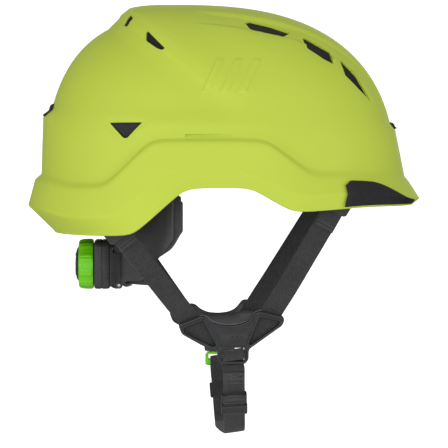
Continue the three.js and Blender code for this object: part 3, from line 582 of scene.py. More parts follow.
# ---------- rows of small repeated parts ----------
def row_tree():
    """Geometry Nodes: copies of a template at even steps along a line, turned to follow it."""
    tree = bpy.data.node_groups.new("row_of_parts", "GeometryNodeTree")
    face = tree.interface
    face.new_socket("Geometry", in_out="INPUT", socket_type="NodeSocketGeometry")
    face.new_socket("Template", in_out="INPUT", socket_type="NodeSocketObject")
    face.new_socket("Step", in_out="INPUT", socket_type="NodeSocketFloat")
    face.new_socket("Finish", in_out="INPUT", socket_type="NodeSocketMaterial")
    face.new_socket("Geometry", in_out="OUTPUT", socket_type="NodeSocketGeometry")
    start, end = tree.nodes.new("NodeGroupInput"), tree.nodes.new("NodeGroupOutput")
    make = lambda kind: tree.nodes.new(kind)
    to_curve, resample, template = (
        make("GeometryNodeMeshToCurve"),
        make("GeometryNodeResampleCurve"),
        make("GeometryNodeObjectInfo"),
    )
    copies, real, paint = (
        make("GeometryNodeInstanceOnPoints"),
        make("GeometryNodeRealizeInstances"),
        make("GeometryNodeSetMaterial"),
    )
    tangent, normal = make("GeometryNodeInputTangent"), make("GeometryNodeInputNamedAttribute")
    normal.data_type = "FLOAT_VECTOR"
    normal.inputs["Name"].default_value = "out"
    turn_along, turn_out = make("FunctionNodeAlignEulerToVector"), make("FunctionNodeAlignEulerToVector")
    turn_along.axis = "X"
    turn_out.axis, turn_out.pivot_axis = "Z", "X"
    resample.mode = "LENGTH"
    link = tree.links.new
    link(start.outputs["Geometry"], to_curve.inputs["Mesh"])
    link(to_curve.outputs["Curve"], resample.inputs["Curve"])
    link(start.outputs["Step"], resample.inputs["Length"])
    link(resample.outputs["Curve"], copies.inputs["Points"])
    link(start.outputs["Template"], template.inputs["Object"])
    link(template.outputs["Geometry"], copies.inputs["Instance"])
    link(tangent.outputs["Tangent"], turn_along.inputs["Vector"])
    link(turn_along.outputs["Rotation"], turn_out.inputs["Rotation"])
    link(normal.outputs["Attribute"], turn_out.inputs["Vector"])
    link(turn_out.outputs["Rotation"], copies.inputs["Rotation"])
    link(copies.outputs["Instances"], real.inputs["Geometry"])
    link(real.outputs["Geometry"], paint.inputs["Geometry"])
    link(start.outputs["Finish"], paint.inputs["Material"])
    link(paint.outputs["Geometry"], end.inputs["Geometry"])
    return tree


ROW_OF_PARTS = row_tree()


def part_row(name, lines, outs, template, step, material):
    """Copies of a template along each line in mm: its x along the line, its z along the outward side."""
    points = np.concatenate(lines)
    edges, k = [], 0
    for line in lines:
        edges += [(k + i, k + i + 1) for i in range(len(line) - 1)]
        k += len(line)
    mesh = bpy.data.meshes.new(name)
    mesh.from_pydata((points * MM).tolist(), edges, [])
    sides = np.concatenate([np.broadcast_to(o, l.shape) for o, l in zip(outs, lines)]).astype(np.float32)
    mesh.attributes.new("out", "FLOAT_VECTOR", "POINT").data.foreach_set("vector", sides.ravel())
    piece = bpy.data.objects.new(name, mesh)
    bpy.context.scene.collection.objects.link(piece)
    modifier = piece.modifiers.new("row", "NODES")
    modifier.node_group = ROW_OF_PARTS
    inputs = {s.name: s.identifier for s in ROW_OF_PARTS.interface.items_tree if s.in_out == "INPUT"}
    modifier[inputs["Template"]] = template
    modifier[inputs["Step"]] = step * MM
    modifier[inputs["Finish"]] = material
    apply_modifiers(piece)
    bpy.data.objects.remove(template)
    finish_surface(piece, 50)
    return piece


def stitch_template(length=1.9, thick=0.55):
    """One stitch: a short thread that dips into the webbing at both ends."""
    angles = np.linspace(0, 2 * np.pi, 7, endpoint=False)
    rings = []
    for t in np.linspace(-1, 1, 6):
        r = thick / 2 * math.sqrt(max(0.15, 1 - t**4))
        lift = 0.12 - 0.35 * t * t
        rings.append([(t * length / 2, r * math.cos(a), lift + r * math.sin(a)) for a in angles])
    return loft("stitch_template", rings, THREAD, 60)


# ---------- the shell's shape, in mm: x forward, y to the wearer's left, z up ----------
MIDDLE_X, FRONT, REAR, HALF_WIDTH, CROWN, WALL = -35.4, 167.0, 101.8, 104.0, 139.5, 3.0
PLAN_POWER, SIDE_POWER = 2.3, 2.6


def rear_rise(x):
    return ramp(-x, 112, 135)


def lip_height(x):
    climb = 35.1 * ramp(x, -88, -56) - 27 * ramp(x, 28, 60) - 4.5 * ramp(x, 90, 131)
    return 0.5 + 6.4 * rear_rise(x) + climb


def shoulder_height(x):
    return 54 - 10 * ramp(x, 60, 125)


# from the rim up to the shoulder: height along the shell,
# and how far out it stands in front, beside and behind
LEVELS = [
    (
        lambda x: -33 + 36 * ramp(x, -69, -31) - 18.9 * ramp(x, 17, 47) + 3.9 * ramp(x, 50, 100),
        lambda x: (14, 2.5, -7),
    ),
    (
        lambda x: -21
        + 8 * rear_rise(x)
        + 36.5 * ramp(x, -82, -42)
        - 20.5 * ramp(x, 6, 50)
        + 3 * ramp(x, 55, 95)
        - 7 * ramp(x, 100, 131),
        lambda x: (18.6, 7, 13),
    ),
    (lip_height, lambda x: (10.4, 4.5, 7.6)),
    (
        lambda x: lip_height(x)
        + 3.9
        - 1.3 * ramp(x, -88, -56)
        + 2.2 * ramp(x, 28, 60)
        - 0.7 * ramp(x, 100, 131),
        lambda x: (7, 0.5, 2.8),
    ),
    (shoulder_height, lambda x: (-0.2, -1 - 2 * ramp(x, -20, 60), 1.4)),
]


def plan_at(angle):
    c, s = np.cos(angle), np.sin(angle)
    u, v = signed_power(c, 2 / PLAN_POWER), signed_power(s, 2 / PLAN_POWER)
    reach = np.where(c > 0, FRONT, REAR)
    slope_x = signed_power(u, PLAN_POWER - 1) / reach
    slope_y = signed_power(v, PLAN_POWER - 1) / HALF_WIDTH
    normal = unit(np.stack([slope_x, slope_y, np.zeros_like(slope_x)], -1))
    weights = np.maximum(0, c) ** 2, s**2, np.maximum(0, -c) ** 2
    return u, v, reach, normal, weights


def level_point(index, angle, inset=0.0, rise=0.0):
    u, v, reach, normal, weights = plan_at(angle)
    x = MIDDLE_X + u * reach
    height, out = LEVELS[index]
    stand = sum(o * w for o, w in zip(out(x), weights))
    base = np.stack([x, v * HALF_WIDTH, height(x) + rise], -1)
    return base + normal * (stand - inset)[..., None]


def dome_foot(angle):
    u, _, reach, _, (front, side, rear) = plan_at(angle)
    chamfer = 9 * rear + 3.5 * side + 6 * front
    return ((shoulder_height(MIDDLE_X + u * reach) + chamfer) / CROWN) ** (SIDE_POWER / 2)


def dome_point(angle, t, inset=0.0, crisp=0.0):
    u, v, reach, plan_normal, _ = plan_at(angle)
    turn = mix(np.arcsin(dome_foot(angle)), np.pi / 2, t)
    z = CROWN * np.sin(turn) ** (2 / SIDE_POWER)
    size = np.abs(np.cos(turn)) ** (2 / SIDE_POWER)
    p = np.stack([MIDDLE_X + u * reach * size, v * HALF_WIDTH * size, z], -1)
    slope = ((z / CROWN) ** (SIDE_POWER - 1) / CROWN) * smooth(5 * t)
    steep = np.maximum(size, 1e-3) ** (SIDE_POWER - 1) / 120
    normal = unit(plan_normal * steep[..., None] + slope[..., None] * np.array([0, 0, 1.0]))
    # the raised crown ends in a slanting ridge towards the back
    lean = 0.643 * p[..., 0] + 0.766 * (p[..., 2] - CROWN)
    raised = np.clip((lean + 65.4) / 16.1, 0, 1)
    p[..., 2] *= 1 - (8.8 / CROWN) * (1 - raised) * smooth((z - 40) / 30)
    # a shallow channel runs forward along each side of the crown
    side = np.abs(p[..., 1])
    bow = np.maximum(0, p[..., 0]) ** 2
    across = (
        smooth((side - (49 - 0.0018 * bow) + 5) / 6) * (1 - smooth((side - (63.5 - 0.0019 * bow) + 2) / 2))
    )
    channel = across * smooth((p[..., 0] + 30) / 30) * smooth((128 - p[..., 0]) / 10)
    step = (
        crisp * 1.3 * (smooth((lean + 57.5) / 2.4) - smooth((lean + 49) / 24))
        * smooth((p[..., 2] - 54) / 26)
    )
    return p - normal * (inset + 1.6 * channel - step)[..., None]


def shell_surface(x, z, from_side=-1):
    """The point of the shell's outside seen at side-view place (x, z)."""
    hit = SHELL_TREE.ray_cast(Vector((x, from_side * 300, z)) * MM, Vector((0, -from_side, 0)))
    return np.array(hit[0]) / MM, np.array(hit[1])


VENTS = {
    "crown_front": [(86.3, 95.4), (88.3, 95.2), (98.1, 84.5), (109.4, 65.4), (99.8, 75.2), (90, 85)],
    "crown_middle": [(58.1, 112.4), (60.3, 112.7), (78.1, 102.7), (80.1, 93.7), (73, 97.4), (61.5, 104.9)],
    "crown_rear": [
        (14.6, 124.4),
        (19.1, 125.2),
        (34, 121.4),
        (48.3, 116.9),
        (42.3, 113.9),
        (29.6, 116.9),
        (18.3, 119.5),
    ],
    "step_corner": [
        (-58, 116.9), (-46, 104.5), (-48.3, 103.2), (-51.7, 104.7), (-59.4, 110.2), (-59.3, 115.9)
    ],
    "step_back": [(-71.6, 129.8), (-69.7, 127.4), (-73.9, 121.6), (-75.9, 122.6)],
    "side": [(-85.9, 49.2), (-62.9, 49.5), (-73.7, 38.7), (-76.1, 38.7)],
}
COLUMNS = 384


def shell_rows():
    """Rows of (points round the shell) from the crown down the outside, and from the rim up the inside."""
    angle = 2 * np.pi * (np.arange(COLUMNS) + 0.5) / COLUMNS
    dome_shares = np.concatenate([[0.985, 0.97], np.linspace(0.955, 0.0, 74)])
    outside = [dome_point(angle, t, crisp=1.0) for t in dome_shares]
    skirt = skirt_rows(angle, 0.0, 2.0)
    joined_rows = soften_shoulder(outside + skirt, angle, len(outside) + 3)
    outside, skirt = joined_rows[: len(outside)], joined_rows[len(outside) :]
    inside = (
        skirt_rows(angle, WALL, 5.0)[::-1] + [dome_point(angle, t, WALL) for t in np.linspace(0, 0.955, 18)]
    )
    return outside, skirt, inside


def skirt_rows(angle, inset, spacing):
    """Rows from the shoulder down to the rim, with a pair of close rows at each crease to keep it crisp."""
    keys = [dome_point(angle, 0.0, inset)] + [level_point(k, angle, inset) for k in (4, 3, 2, 1, 0)]
    rows = []
    for k in range(len(keys) - 1):
        length = np.linalg.norm(keys[k + 1] - keys[k], axis=1).mean()
        near = min(0.25, 0.55 / length)
        count = max(1, int((length - 1.1) / spacing))
        shares = [*np.linspace(near, 1 - near, count + 1)]
        if k == len(keys) - 2:
            shares = shares[:-1] + [1 - 0.4 * near]
        rows += [mix(keys[k], keys[k + 1], t) for t in shares]
    return rows


def soften_shoulder(rows, angle, foot_row):
    """Along the sides the shoulder melts into the skirt; behind and in front it stays a crease."""
    rows = np.array(rows)
    amount = smooth((np.abs(np.sin(angle)) - 0.25) / 0.45)
    rank = np.arange(len(rows))
    window = np.exp(-(((rank - foot_row) / 5.0) ** 2))
    mask = 0.5 * window[:, None, None] * amount[None, :, None]
    for _ in range(70):
        mean = (rows[:-2] + rows[2:]) / 2
        rows[1:-1] += mask[1:-1] * (mean - rows[1:-1])
    return list(rows)


def rim_round(outer, inner, count=4):
    """A rolled edge between the last row outside and the first inside."""
    middle = (outer + inner) / 2
    across = (outer - inner) / 2
    down = np.zeros_like(outer)
    down[:, 2] = -np.linalg.norm(across, axis=1)
    turns = np.linspace(0, np.pi, count + 2)[1:-1]
    return [middle + across * math.cos(a) + down * math.sin(a) * 0.8 for a in turns]


def skin_piece(name, rows, material, crease=30):
    rows = np.array(rows)
    faces = grid_faces(len(rows), rows.shape[1], wrap=True)
    points = rows.reshape(-1, 3)
    top, bottom = rows[0].mean(axis=0), rows[-1].mean(axis=0)
    points = np.concatenate([points, [top, bottom]])
    n, last = rows.shape[1], (len(rows) - 1) * rows.shape[1]
    faces += [(len(points) - 2, (j + 1) % n, j) for j in range(n)]
    faces += [(len(points) - 1, last + j, last + (j + 1) % n) for j in range(n)]
    piece = make_piece(name, points, faces, material, crease)
    turn_outwards(piece)
    return piece


def vent_prism(outline, grow, depth_out=20, depth_in=26, side=-1):
    """A prism through the shell along the skin's normal where the vent is."""
    pairs = rounded(outline, 0.9, 4)
    centre = pairs.mean(axis=0)
    _, normal = shell_surface(centre[0], centre[1], side)
    rings = []
    spots = []
    for x, z in pairs:
        away = np.array([x, z]) - centre
        spread_out = away / max(np.linalg.norm(away), 1e-6) * grow
        spots.append(shell_surface(x + spread_out[0], z + spread_out[1], side)[0])
    spots = np.array(spots)
    for d in (-depth_in, depth_out):
        rings.append(spots + normal * d)
    return loft("vent_tool", rings, RUBBER)


outside, skirt, inside = shell_rows()
plain_shell = skin_piece(
    "shell_surface", outside + skirt + rim_round(skirt[-1], inside[0]) + inside, SHELL
)
SHELL_TREE = BVHTree.FromObject(plain_shell, bpy.context.evaluated_depsgraph_get())


def press_round_vents(piece, reach=4.5, deep=0.45):
    """The skin dips towards each vent, leaving a soft lip round it."""
    mesh = piece.data
    points = np.empty(len(mesh.vertices) * 3)
    mesh.vertices.foreach_get("co", points)
    points = points.reshape(-1, 3) / MM
    normals = np.empty(len(mesh.vertices) * 3)
    mesh.vertices.foreach_get("normal", normals)
    normals = normals.reshape(-1, 3)
    for name, outline in VENTS.items():
        if name.startswith("step"):
            continue
        outline = np.array(outline)
        spots = points[:, [0, 2]]
        nearest = np.full(len(points), 1e9)
        within = np.zeros(len(points), bool)
        for a, b in zip(outline, np.roll(outline, -1, axis=0)):
            edge = b - a
            t = np.clip(((spots - a) @ edge) / (edge @ edge), 0, 1)
            nearest = np.minimum(nearest, np.linalg.norm(spots - a - t[:, None] * edge, axis=1))
            crosses = (a[1] > spots[:, 1]) != (b[1] > spots[:, 1])
            reach_x = a[0] + (spots[:, 1] - a[1]) / (edge[1] if abs(edge[1]) > 1e-9 else 1e-9) * edge[0]
            within ^= crosses & (spots[:, 0] < reach_x)
        nearest[within] = 0
        outer_skin = np.abs(normals[:, 1]) > 0.12
        push = deep * (1 - smooth(nearest / reach)) * outer_skin
        points -= normals * (push * (np.sign(points[:, 1]) == np.sign(normals[:, 1])))[:, None]
    mesh.vertices.foreach_set("co", (points * MM).ravel())
    mesh.update()


def cut_shell(piece):
    tools = []
    for outline in VENTS.values():
        tool = vent_prism(outline, 0.5)
        tools += [tool, mirrored(tool, "vent_tool_left")]
    for side in (-1, 1):
        tools.append(
            box_piece("ear_pocket", (-31, side * 102.4, 38.9), (3, side * 130, 41), RUBBER, 0.3)
        )
    return boolean(piece, tools)


def vent_screens():
    """A dark moulded screen a little below the skin in each crown vent."""
    screens = []
    for name, outline in VENTS.items():
        if name == "side":
            continue
        deep = 0.5 if name == "step_back" else 1.6
        screen = vent_prism(outline, 0.45, -deep, deep + 1.6)
        screen.data.materials.clear()
        screen.data.materials.append(SCREEN)
        screens += [screen, mirrored(screen, "vent_screen_left")]
    return joined("vent_screens", screens)


screens = vent_screens()
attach(screens, "helmet")
shell = plain_shell
shell.name = "moulded_shell"
press_round_vents(shell)
cut_shell(shell)
finish_surface(shell, 34)
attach(shell, "helmet")
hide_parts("shell")


def settle(piece, body, slot, *replaced):
    """Joins a finished piece to its body and hides the parts it replaces."""
    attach(piece, body)
    if replaced:
        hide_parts(*replaced)
    return piece


# ---------- foam liner: the shell's shape moved in ----------
LINER_GAP, LINER_RISE = 2.2, 18.0


def liner_piece():
    angle = 2 * np.pi * (np.arange(144) + 0.5) / 144
    c, s = np.cos(angle), np.sin(angle)
    weights = s**2, np.maximum(0, c) ** 2 + np.maximum(0, -c) ** 2

    def inset(t, extra):
        wall = 15 * weights[0] + 20 * weights[1]
        return WALL + LINER_GAP + extra * mix(wall, 24, smooth(t * 1.3))

    def low_row(extra):
        row = level_point(3, angle, inset(0, extra))
        u = plan_at(angle)[0]
        row[:, 2] = LEVELS[0][0](MIDDLE_X + u) + LINER_RISE
        return row

    def side_rows(extra):
        upper = [
            level_point(4, angle, inset(0, extra)), level_point(3, angle, inset(0, extra)), low_row(extra)
        ]
        rows = []
        for a, b, count in ((upper[0], upper[1], 8), (upper[1], upper[2], 6)):
            rows += [mix(a, b, t) for t in np.linspace(0, 1, count, endpoint=False)]
        return rows, upper[2]

    rows_out, low_out = side_rows(0)
    rows_in, low_in = side_rows(1)
    rows = [dome_point(angle, t, inset(t, 0)) for t in np.linspace(0.96, 0, 26)] + rows_out
    edge = [
        mix(low_out, low_in, t) + np.array([0, 0, 1.6]) * (1 - math.sin(math.pi * t))
        for t in (0, 0.12, 0.88, 1)
    ]
    rows += edge + rows_in[::-1]
    rows += [dome_point(angle, t, inset(t, 1)) for t in np.linspace(0.06, 0.95, 22)]
    liner = skin_piece("foam_liner_fine", rows, FOAM, 40)
    return liner


liner = liner_piece()
settle(liner, "helmet", "foam", "foam_liner")


# ---------- trim on the shell ----------
def on_levels(share, angle, inset):
    k = int(min(math.floor(share), 3))
    a = level_point(k, np.array([angle]), np.array([inset]))[0]
    b = level_point(k + 1, np.array([angle]), np.array([inset]))[0]
    return mix(a, b, share - k)


def guard_piece():
    """A moulded corner guard with a fan of slanting ridges."""
    start, end = -2 * math.pi * 7.5 / 56, -2 * math.pi * 2.5 / 56
    top = lambda t: mix(0.85, 1.85, float(smooth((t - 0.05) / 0.65)))
    rings = []
    count = 120
    for i in range(count + 1):
        t = i / count
        angle = mix(start, end, t)
        end_fade = float(smooth(min(t, 1 - t) * 16))
        shares = np.linspace(0.06, top(1 - t) - 0.15 * (1 - smooth(t * 12)) - 0.12 * (1 - end_fade), 26)
        outer, inner = [], []
        for j, share in enumerate(shares):
            edge = min(j, 25 - j) / 4
            lift = float(np.sqrt(np.clip(1 - (1 - np.clip(edge, 0, 1)) ** 2, 0, 1))) * (0.4 + 0.6 * end_fade)
            up = (share - 0.06) / 1.8
            fan = (up + 0.16) / (1.25 - t) * 15
            ridge = (
                0.55 * (0.5 + 0.5 * math.cos(2 * math.pi * fan)) ** 1.5 * float(smooth(edge / 1.3))
                * end_fade
            )
            outer.append(on_levels(share, angle, -2.2 - 0.9 * lift - ridge))
            inner.append(on_levels(share, angle, -1.8))
        rings.append(outer + inner[::-1])
    return loft("brim_guard_fine", rings, RUBBER, 32)


guard = guard_piece()
settle(mirrored(guard, "brim_guard_fine_left"), "helmet", "trim", "brim_guard_left")
settle(guard, "helmet", "trim", "brim_guard_right")


def on_chamfer(at, t, inset):
    """t from 0 to 1 goes up the shoulder's chamfer; past 1 it goes on up the dome."""
    inset = np.array([inset])
    if t > 1:
        return dome_point(at, (t - 1) * 0.05, inset)[0]
    return mix(level_point(4, at, inset)[0], dome_point(at, 0.0, inset)[0], t)


def hook_piece(name, middle, half, rise):
    """A shallow hook with a finger groove, for a lamp strap."""
    rings = []
    for i in range(33):
        s = i / 32 * 2 - 1
        angle = middle + half * s
        out, back = [], []
        end = math.sqrt(max(0, 1 - s**6))
        for j in range(13):
            t = mix(0.08, rise, j / 12)
            edge = min(j, 12 - j) / 3
            lift = math.sqrt(max(0, 1 - (1 - min(edge, 1)) ** 2)) * end
            groove = 0.5 * math.exp(-(((j - 5) / 1.5) ** 2)) * end
            at = np.array([angle])
            out.append(on_chamfer(at, t, -0.6 - 1.6 * lift + groove))
            back.append(on_chamfer(at, t, -0.4))
        rings.append(out + back[::-1])
    return loft(name, rings, RUBBER, 40)


settle(hook_piece("front_hook_fine", 0.0, math.radians(9), 0.95), "helmet", "trim", "front_lamp_hook")
settle(hook_piece("rear_hook_fine", math.pi, math.radians(12), 1.7), "helmet", "trim", "rear_lamp_hook")
for side in ("right", "left"):
    nodes["side_vent_insert_" + side].data.materials.clear()
    nodes["side_vent_insert_" + side].data.materials.append(RUBBER)


# ---------- walls that follow the head ----------
HEAD_X = -6.3


def wall_section(low, high, r_in, r_out, corner, rows, puff=0.0, recess=None, inset=0.0):
    """(radius, z) round a wall: rounded corners, an optionally puffed inner face and recessed outer face."""
    low, high, r_in, r_out = low + inset, high - inset, r_in + inset, r_out - inset
    corner = min(corner, 0.49 * (r_out - r_in), 0.49 * (high - low))
    points = []
    quarter = np.linspace(0, math.pi / 2, 5)
    for a in quarter:
        points.append((r_out - corner + corner * math.sin(a), low + corner - corner * math.cos(a)))
    for s in np.linspace(0, 1, rows + 2)[1:-1]:
        z = mix(low + corner, high - corner, s)
        dent = recess(s) if recess else 0.0
        points.append((r_out - dent, z))
    for a in quarter:
        points.append((r_out - corner + corner * math.cos(a), high - corner + corner * math.sin(a)))
    for a in quarter:
        points.append((r_in + corner - corner * math.sin(a), high - corner + corner * math.cos(a)))
    for s in np.linspace(1, 0, rows + 2)[1:-1]:
        z = mix(low + corner, high - corner, s)
        points.append((r_in - puff * (1 - abs(2 * s - 1) ** 3), z))
    for a in quarter:
        points.append((r_in + corner - corner * math.cos(a), low + corner - corner * math.sin(a)))
    return points


def head_wall(
    name,
    degs,
    low,
    high,
    r_in,
    r_out,
    material,
    corner=0.8,
    rows=10,
    puff=0.0,
    recess=None,
    ends=1.0,
    front=75.0,
):
    """A wall round the head between angles in degrees from the nape (0) or, with front set, from the brow."""
    degs = np.asarray(degs, float)
    radius = (r_in + r_out) / 2
    tight = min(ends, 0.49 * (r_out - r_in))
    plan = []
    for a in np.linspace(0, math.pi / 2, 4)[:-1]:
        plan.append((degs[0] + math.degrees(tight * (1 - math.cos(a)) / radius), tight * (1 - math.sin(a))))
    plan += [
        (d, 0.0)
        for d in degs
        if degs[0] + math.degrees(tight / radius) <= d <= degs[-1] - math.degrees(tight / radius)
    ]
    for a in np.linspace(math.pi / 2, 0, 4)[1:]:
        plan.append((degs[-1] - math.degrees(tight * (1 - math.cos(a)) / radius), tight * (1 - math.sin(a))))
    rings = []
    span = degs[-1] - degs[0]
    for d, inset in plan:
        t = (d - degs[0]) / span
        belly = puff * float(smooth(min(t, 1 - t) * 9)) if puff else 0.0
        dent = (lambda s, t=t: recess(s, t)) if recess else None
        section = wall_section(low(d), high(d), r_in, r_out, corner, rows, belly, dent, inset)
        rings.append([head_spot(r, d, z, front) for r, z in section])
    return loft(name, rings, material, 40)


def head_spot(radius, deg, z, front):
    """front True: angle from the brow on the band's ellipse; False: angle from the nape on its arc."""
    if front:
        c, s = math.cos(math.radians(deg)), math.sin(math.radians(deg))
        reach = radius + 20 if c > 0 else radius
        return (HEAD_X + reach * c, radius * s, z)
    return (HEAD_X - radius * math.cos(math.radians(deg)), radius * math.sin(math.radians(deg)), z)


BAND_IN, BAND_OUT, BAND_LOW, BAND_HIGH = 75.0, 76.6, 5.0, 29.0


def band_dip(deg):
    return 9 * max(0, math.cos(math.radians(deg))) ** 2


def cylinder_y(name, x, z, radius, y0, y1, material, sides=32):
    angles = np.linspace(0, 2 * np.pi, sides, endpoint=False)
    rings = [
        np.stack([x + radius * np.cos(angles), np.full(sides, y), z + radius * np.sin(angles)], 1)
        for y in (y0, y1)
    ]
    return loft(name, rings, material)


def cylinder_x(name, y, z, radius, x0, x1, material, sides=40):
    angles = np.linspace(0, 2 * np.pi, sides, endpoint=False)
    rings = [
        np.stack([np.full(sides, x), y + radius * np.cos(angles), z + radius * np.sin(angles)], 1)
        for x in (x0, x1)
    ]
    return loft(name, rings, material)


PIVOT_X, PIVOT_Z = HEAD_X - 78 * math.cos(math.radians(56)), 14.0


def pivot_tools():
    return [cylinder_y("pivot_tool", PIVOT_X, PIVOT_Z, 2.8, s * 50, s * 90, BAND_PLASTIC) for s in (-1, 1)]


headband = head_wall(
    "headband_fine",
    np.linspace(-130, 130, 150),
    lambda d: BAND_LOW - band_dip(d),
    lambda d: BAND_HIGH - band_dip(d),
    BAND_IN,
    BAND_OUT,
    BAND_PLASTIC,
    0.7,
    8,
    recess=lambda s, t: 0.4 * float(smooth(min(s, 1 - s) * 9 - 0.6)),
    front=True,
)
boolean(headband, pivot_tools())
finish_surface(headband, 40)
settle(headband, "helmet", "plastic", "headband")

brow_pad = head_wall(
    "brow_pad_fine",
    np.linspace(-58, 58, 90),
    lambda d: BAND_LOW - band_dip(d) - 3 - 0.25 * math.sin(d * 0.9),
    lambda d: BAND_HIGH - band_dip(d) - 3 + 0.25 * math.sin(d * 1.1),
    BAND_IN - 4.0,
    BAND_IN - 0.4,
    PAD,
    1.7,
    14,
    puff=0.9,
    front=True,
    ends=1.7,
)
settle(brow_pad, "helmet", "pad", "brow_pad")
for name, at in (("front_right", -38), ("front_left", 38), ("rear_right", -104), ("rear_left", 104)):
    hanger = head_wall(
        "hanger_" + name,
        np.linspace(at - 5, at + 5, 12),
        lambda d: BAND_HIGH - band_dip(d) + 0.4,
        lambda d: BAND_HIGH - band_dip(d) + 9.4,
        BAND_IN - 0.4,
        BAND_IN + 3,
        BAND_PLASTIC,
        1.0,
        6,
        recess=lambda s, t: 0.8 * float(smooth(min(s, 1 - s, t, 1 - t) * 8 - 0.8)),
        front=True,
    )
    settle(hanger, "helmet", "plastic", "band_hanger_" + name)


# ---------- crown pads ----------
def crown_pad(name, x0, x1, y0, y1):
    """A thin pad under the liner's crown, with rolled edges and stitched quilting lines."""
    peak = CROWN - WALL - LINER_GAP - 24 - 2.8
    half_span = HALF_WIDTH - WALL - LINER_GAP - 15
    columns, across = 56, 26
    top_rows, under_rows = [], []
    for i in range(columns + 1):
        a = i / columns * 2 - 1
        top_row, under_row = [], []
        for j in range(across + 1):
            b = j / across * 2 - 1
            # a rounded rectangle in plan
            squeeze = math.sqrt(1 - 0.22 * abs(b) ** 5 * abs(a) ** 0.5)
            x = mix(x0, x1, (a * squeeze + 1) / 2)
            y = mix(y0, y1, (b * math.sqrt(1 - 0.22 * abs(a) ** 5 * abs(b) ** 0.5) + 1) / 2)
            height = peak - 34 * math.hypot((x + 10) / (1.4 * half_span), y / half_span) ** 2.4
            roll = min((1 - abs(a)) * (x1 - x0) / 2, (1 - abs(b)) * (y1 - y0) / 2) / 2.6
            full = math.sqrt(max(0.0, 1 - (1 - min(roll, 1)) ** 2))
            quilt = 0.9 * math.exp(-(((x - x0) % 15.3 - 7.6) / 1.1) ** 2) * full
            top_row.append((x, y, height - 6 + 2.9 * full))
            under_row.append((x, y, height - 6 - 2.9 * full + quilt))
        top_rows.append(top_row)
        under_rows.append(under_row)
    rings = [top + under[::-1] for top, under in zip(top_rows, under_rows)]
    pad = loft(name, rings, PAD, 60)
    return pad


settle(crown_pad("crown_pad_fine", -52, 40, -11, 11), "helmet", "pad", "crown_pad_middle")
side_crown = crown_pad("crown_pad_fine_right", -40, 28, -38, -20)
left_crown = mirrored(side_crown, "crown_pad_fine_left")
settle(left_crown, "helmet", "pad", "crown_pad_side_left")
settle(side_crown, "helmet", "pad", "crown_pad_side_right")


# ---------- nape cradle ----------
def eased(pairs, reach=2.5):
    """A line through (angle, height) pairs with its corners eased."""
    angles, heights = zip(*pairs)

    def at(deg):
        spots = abs(deg) + np.linspace(-reach, reach, 9)
        return float(np.interp(np.abs(spots), angles, heights).mean())

    return at


CRADLE_IN, CRADLE_OUT = 78.0, 80.5
cradle_low = eased([(0, -77), (18, -77), (30, -70), (45.5, -69), (54, -54), (62, -44), (65.5, -36)])
cradle_high = eased([(0, -42), (20, -42), (34, -32), (44, 4), (50, 21), (61, 21), (65.5, 14)])
KNOB_Z = -59.0


def cradle_piece():
    plate = head_wall(
        "nape_cradle_fine",
        np.linspace(-65.5, 65.5, 140),
        cradle_low,
        cradle_high,
        CRADLE_IN,
        CRADLE_OUT,
        BAND_PLASTIC,
        0.9,
        22,
        recess=lambda s, t: 0.7 * float(smooth(min(s * 1.1, (1 - s) * 1.1, t * 4, (1 - t) * 4) * 9 - 0.9)),
        front=False,
    )
    tools = pivot_tools() + [cylinder_x("shaft_tool", 0, KNOB_Z, 8.6, -100, -60, BAND_PLASTIC)]
    boolean(plate, tools)
    finish_surface(plate, 40)
    return plate


settle(cradle_piece(), "cradle", "plastic", "nape_cradle")

for side, sign in (("right", -1), ("left", 1)):
    span = np.linspace(40, 70, 44) * sign
    side_pad = head_wall(
        "side_pad_fine_" + side,
        np.sort(span),
        eased([(38, -50), (54, -52), (64, -44), (70, -30)]),
        eased([(38, -30), (48, -6), (64, -4), (70, -10)]),
        CRADLE_IN - 3.0,
        CRADLE_IN - 0.4,
        PAD,
        1.25,
        14,
        puff=0.8,
        front=False,
        ends=1.25,
    )
    settle(side_pad, "cradle", "pad", "side_pad_" + side)


def nape_pad_piece():
    """A quilted pad over the racks; its rolled top and bottom edges reach back to the cradle."""
    rings = []
    inside, face = 67.0, 71.4
    low, high = -77.0, -42.4
    degs = np.linspace(-30, 30, 91)
    for k, deg in enumerate(degs):
        t = k / 90
        end = math.sqrt(max(0.0, 1 - (1 - min(min(t, 1 - t) / 0.03, 1)) ** 2))
        quilt = 0.8 * math.exp(-((abs(deg) - 13) / 0.9) ** 2)
        rise = max(0.0, cradle_low(deg) + 1.2 - low)
        edge = mix(77.6, face + 0.4, float(smooth((rise - 0.2) / 1.0)))
        shelf = min(face + 1.2, edge)
        lip = max(edge - 1.5, face + 0.1)
        section = [
            (edge, low + 0.2),
            (edge - 0.1, low + 2.0),
            (shelf, low + 2.2),
            (face, low + 3.4),
            (face, -66),
            (face, -53),
            (face, high - 2.8),
            (shelf, high - 1.6),
            (edge - 0.1, high - 1.4),
            (edge, high - 0.2),
            (lip, high),
            (face, high),
            (inside + 1.6, high - 0.5),
            (inside + 0.3, high - 2.4),
        ]
        for s in np.linspace(0.04, 0.96, 15):
            belly = 0.5 * math.sin(math.pi * s)
            seam = 0.9 * math.exp(-(((s - 0.5) / 0.05) ** 2))
            section.append((inside - belly + seam + quilt, mix(high - 3, low + 3, s)))
        section += [(inside + 0.3, low + 2.4), (inside + 1.6, low + 0.5), (face, low), (lip, low)]
        centre = 71.0
        section = [(r, z + rise * (high - z) / (high - low)) for r, z in section]
        rings.append(
            [head_spot(centre + (r - centre) * (0.4 + 0.6 * end), deg, z, False) for r, z in section]
        )
    pad = loft("nape_pad_fine", rings, PAD, 60)
    return pad


settle(nape_pad_piece(), "cradle", "pad", "nape_pad")

# ---------- ratchet ----------
HOUSING_BACK = HEAD_X - CRADLE_OUT - 0.4 - 0.6 - 11.8


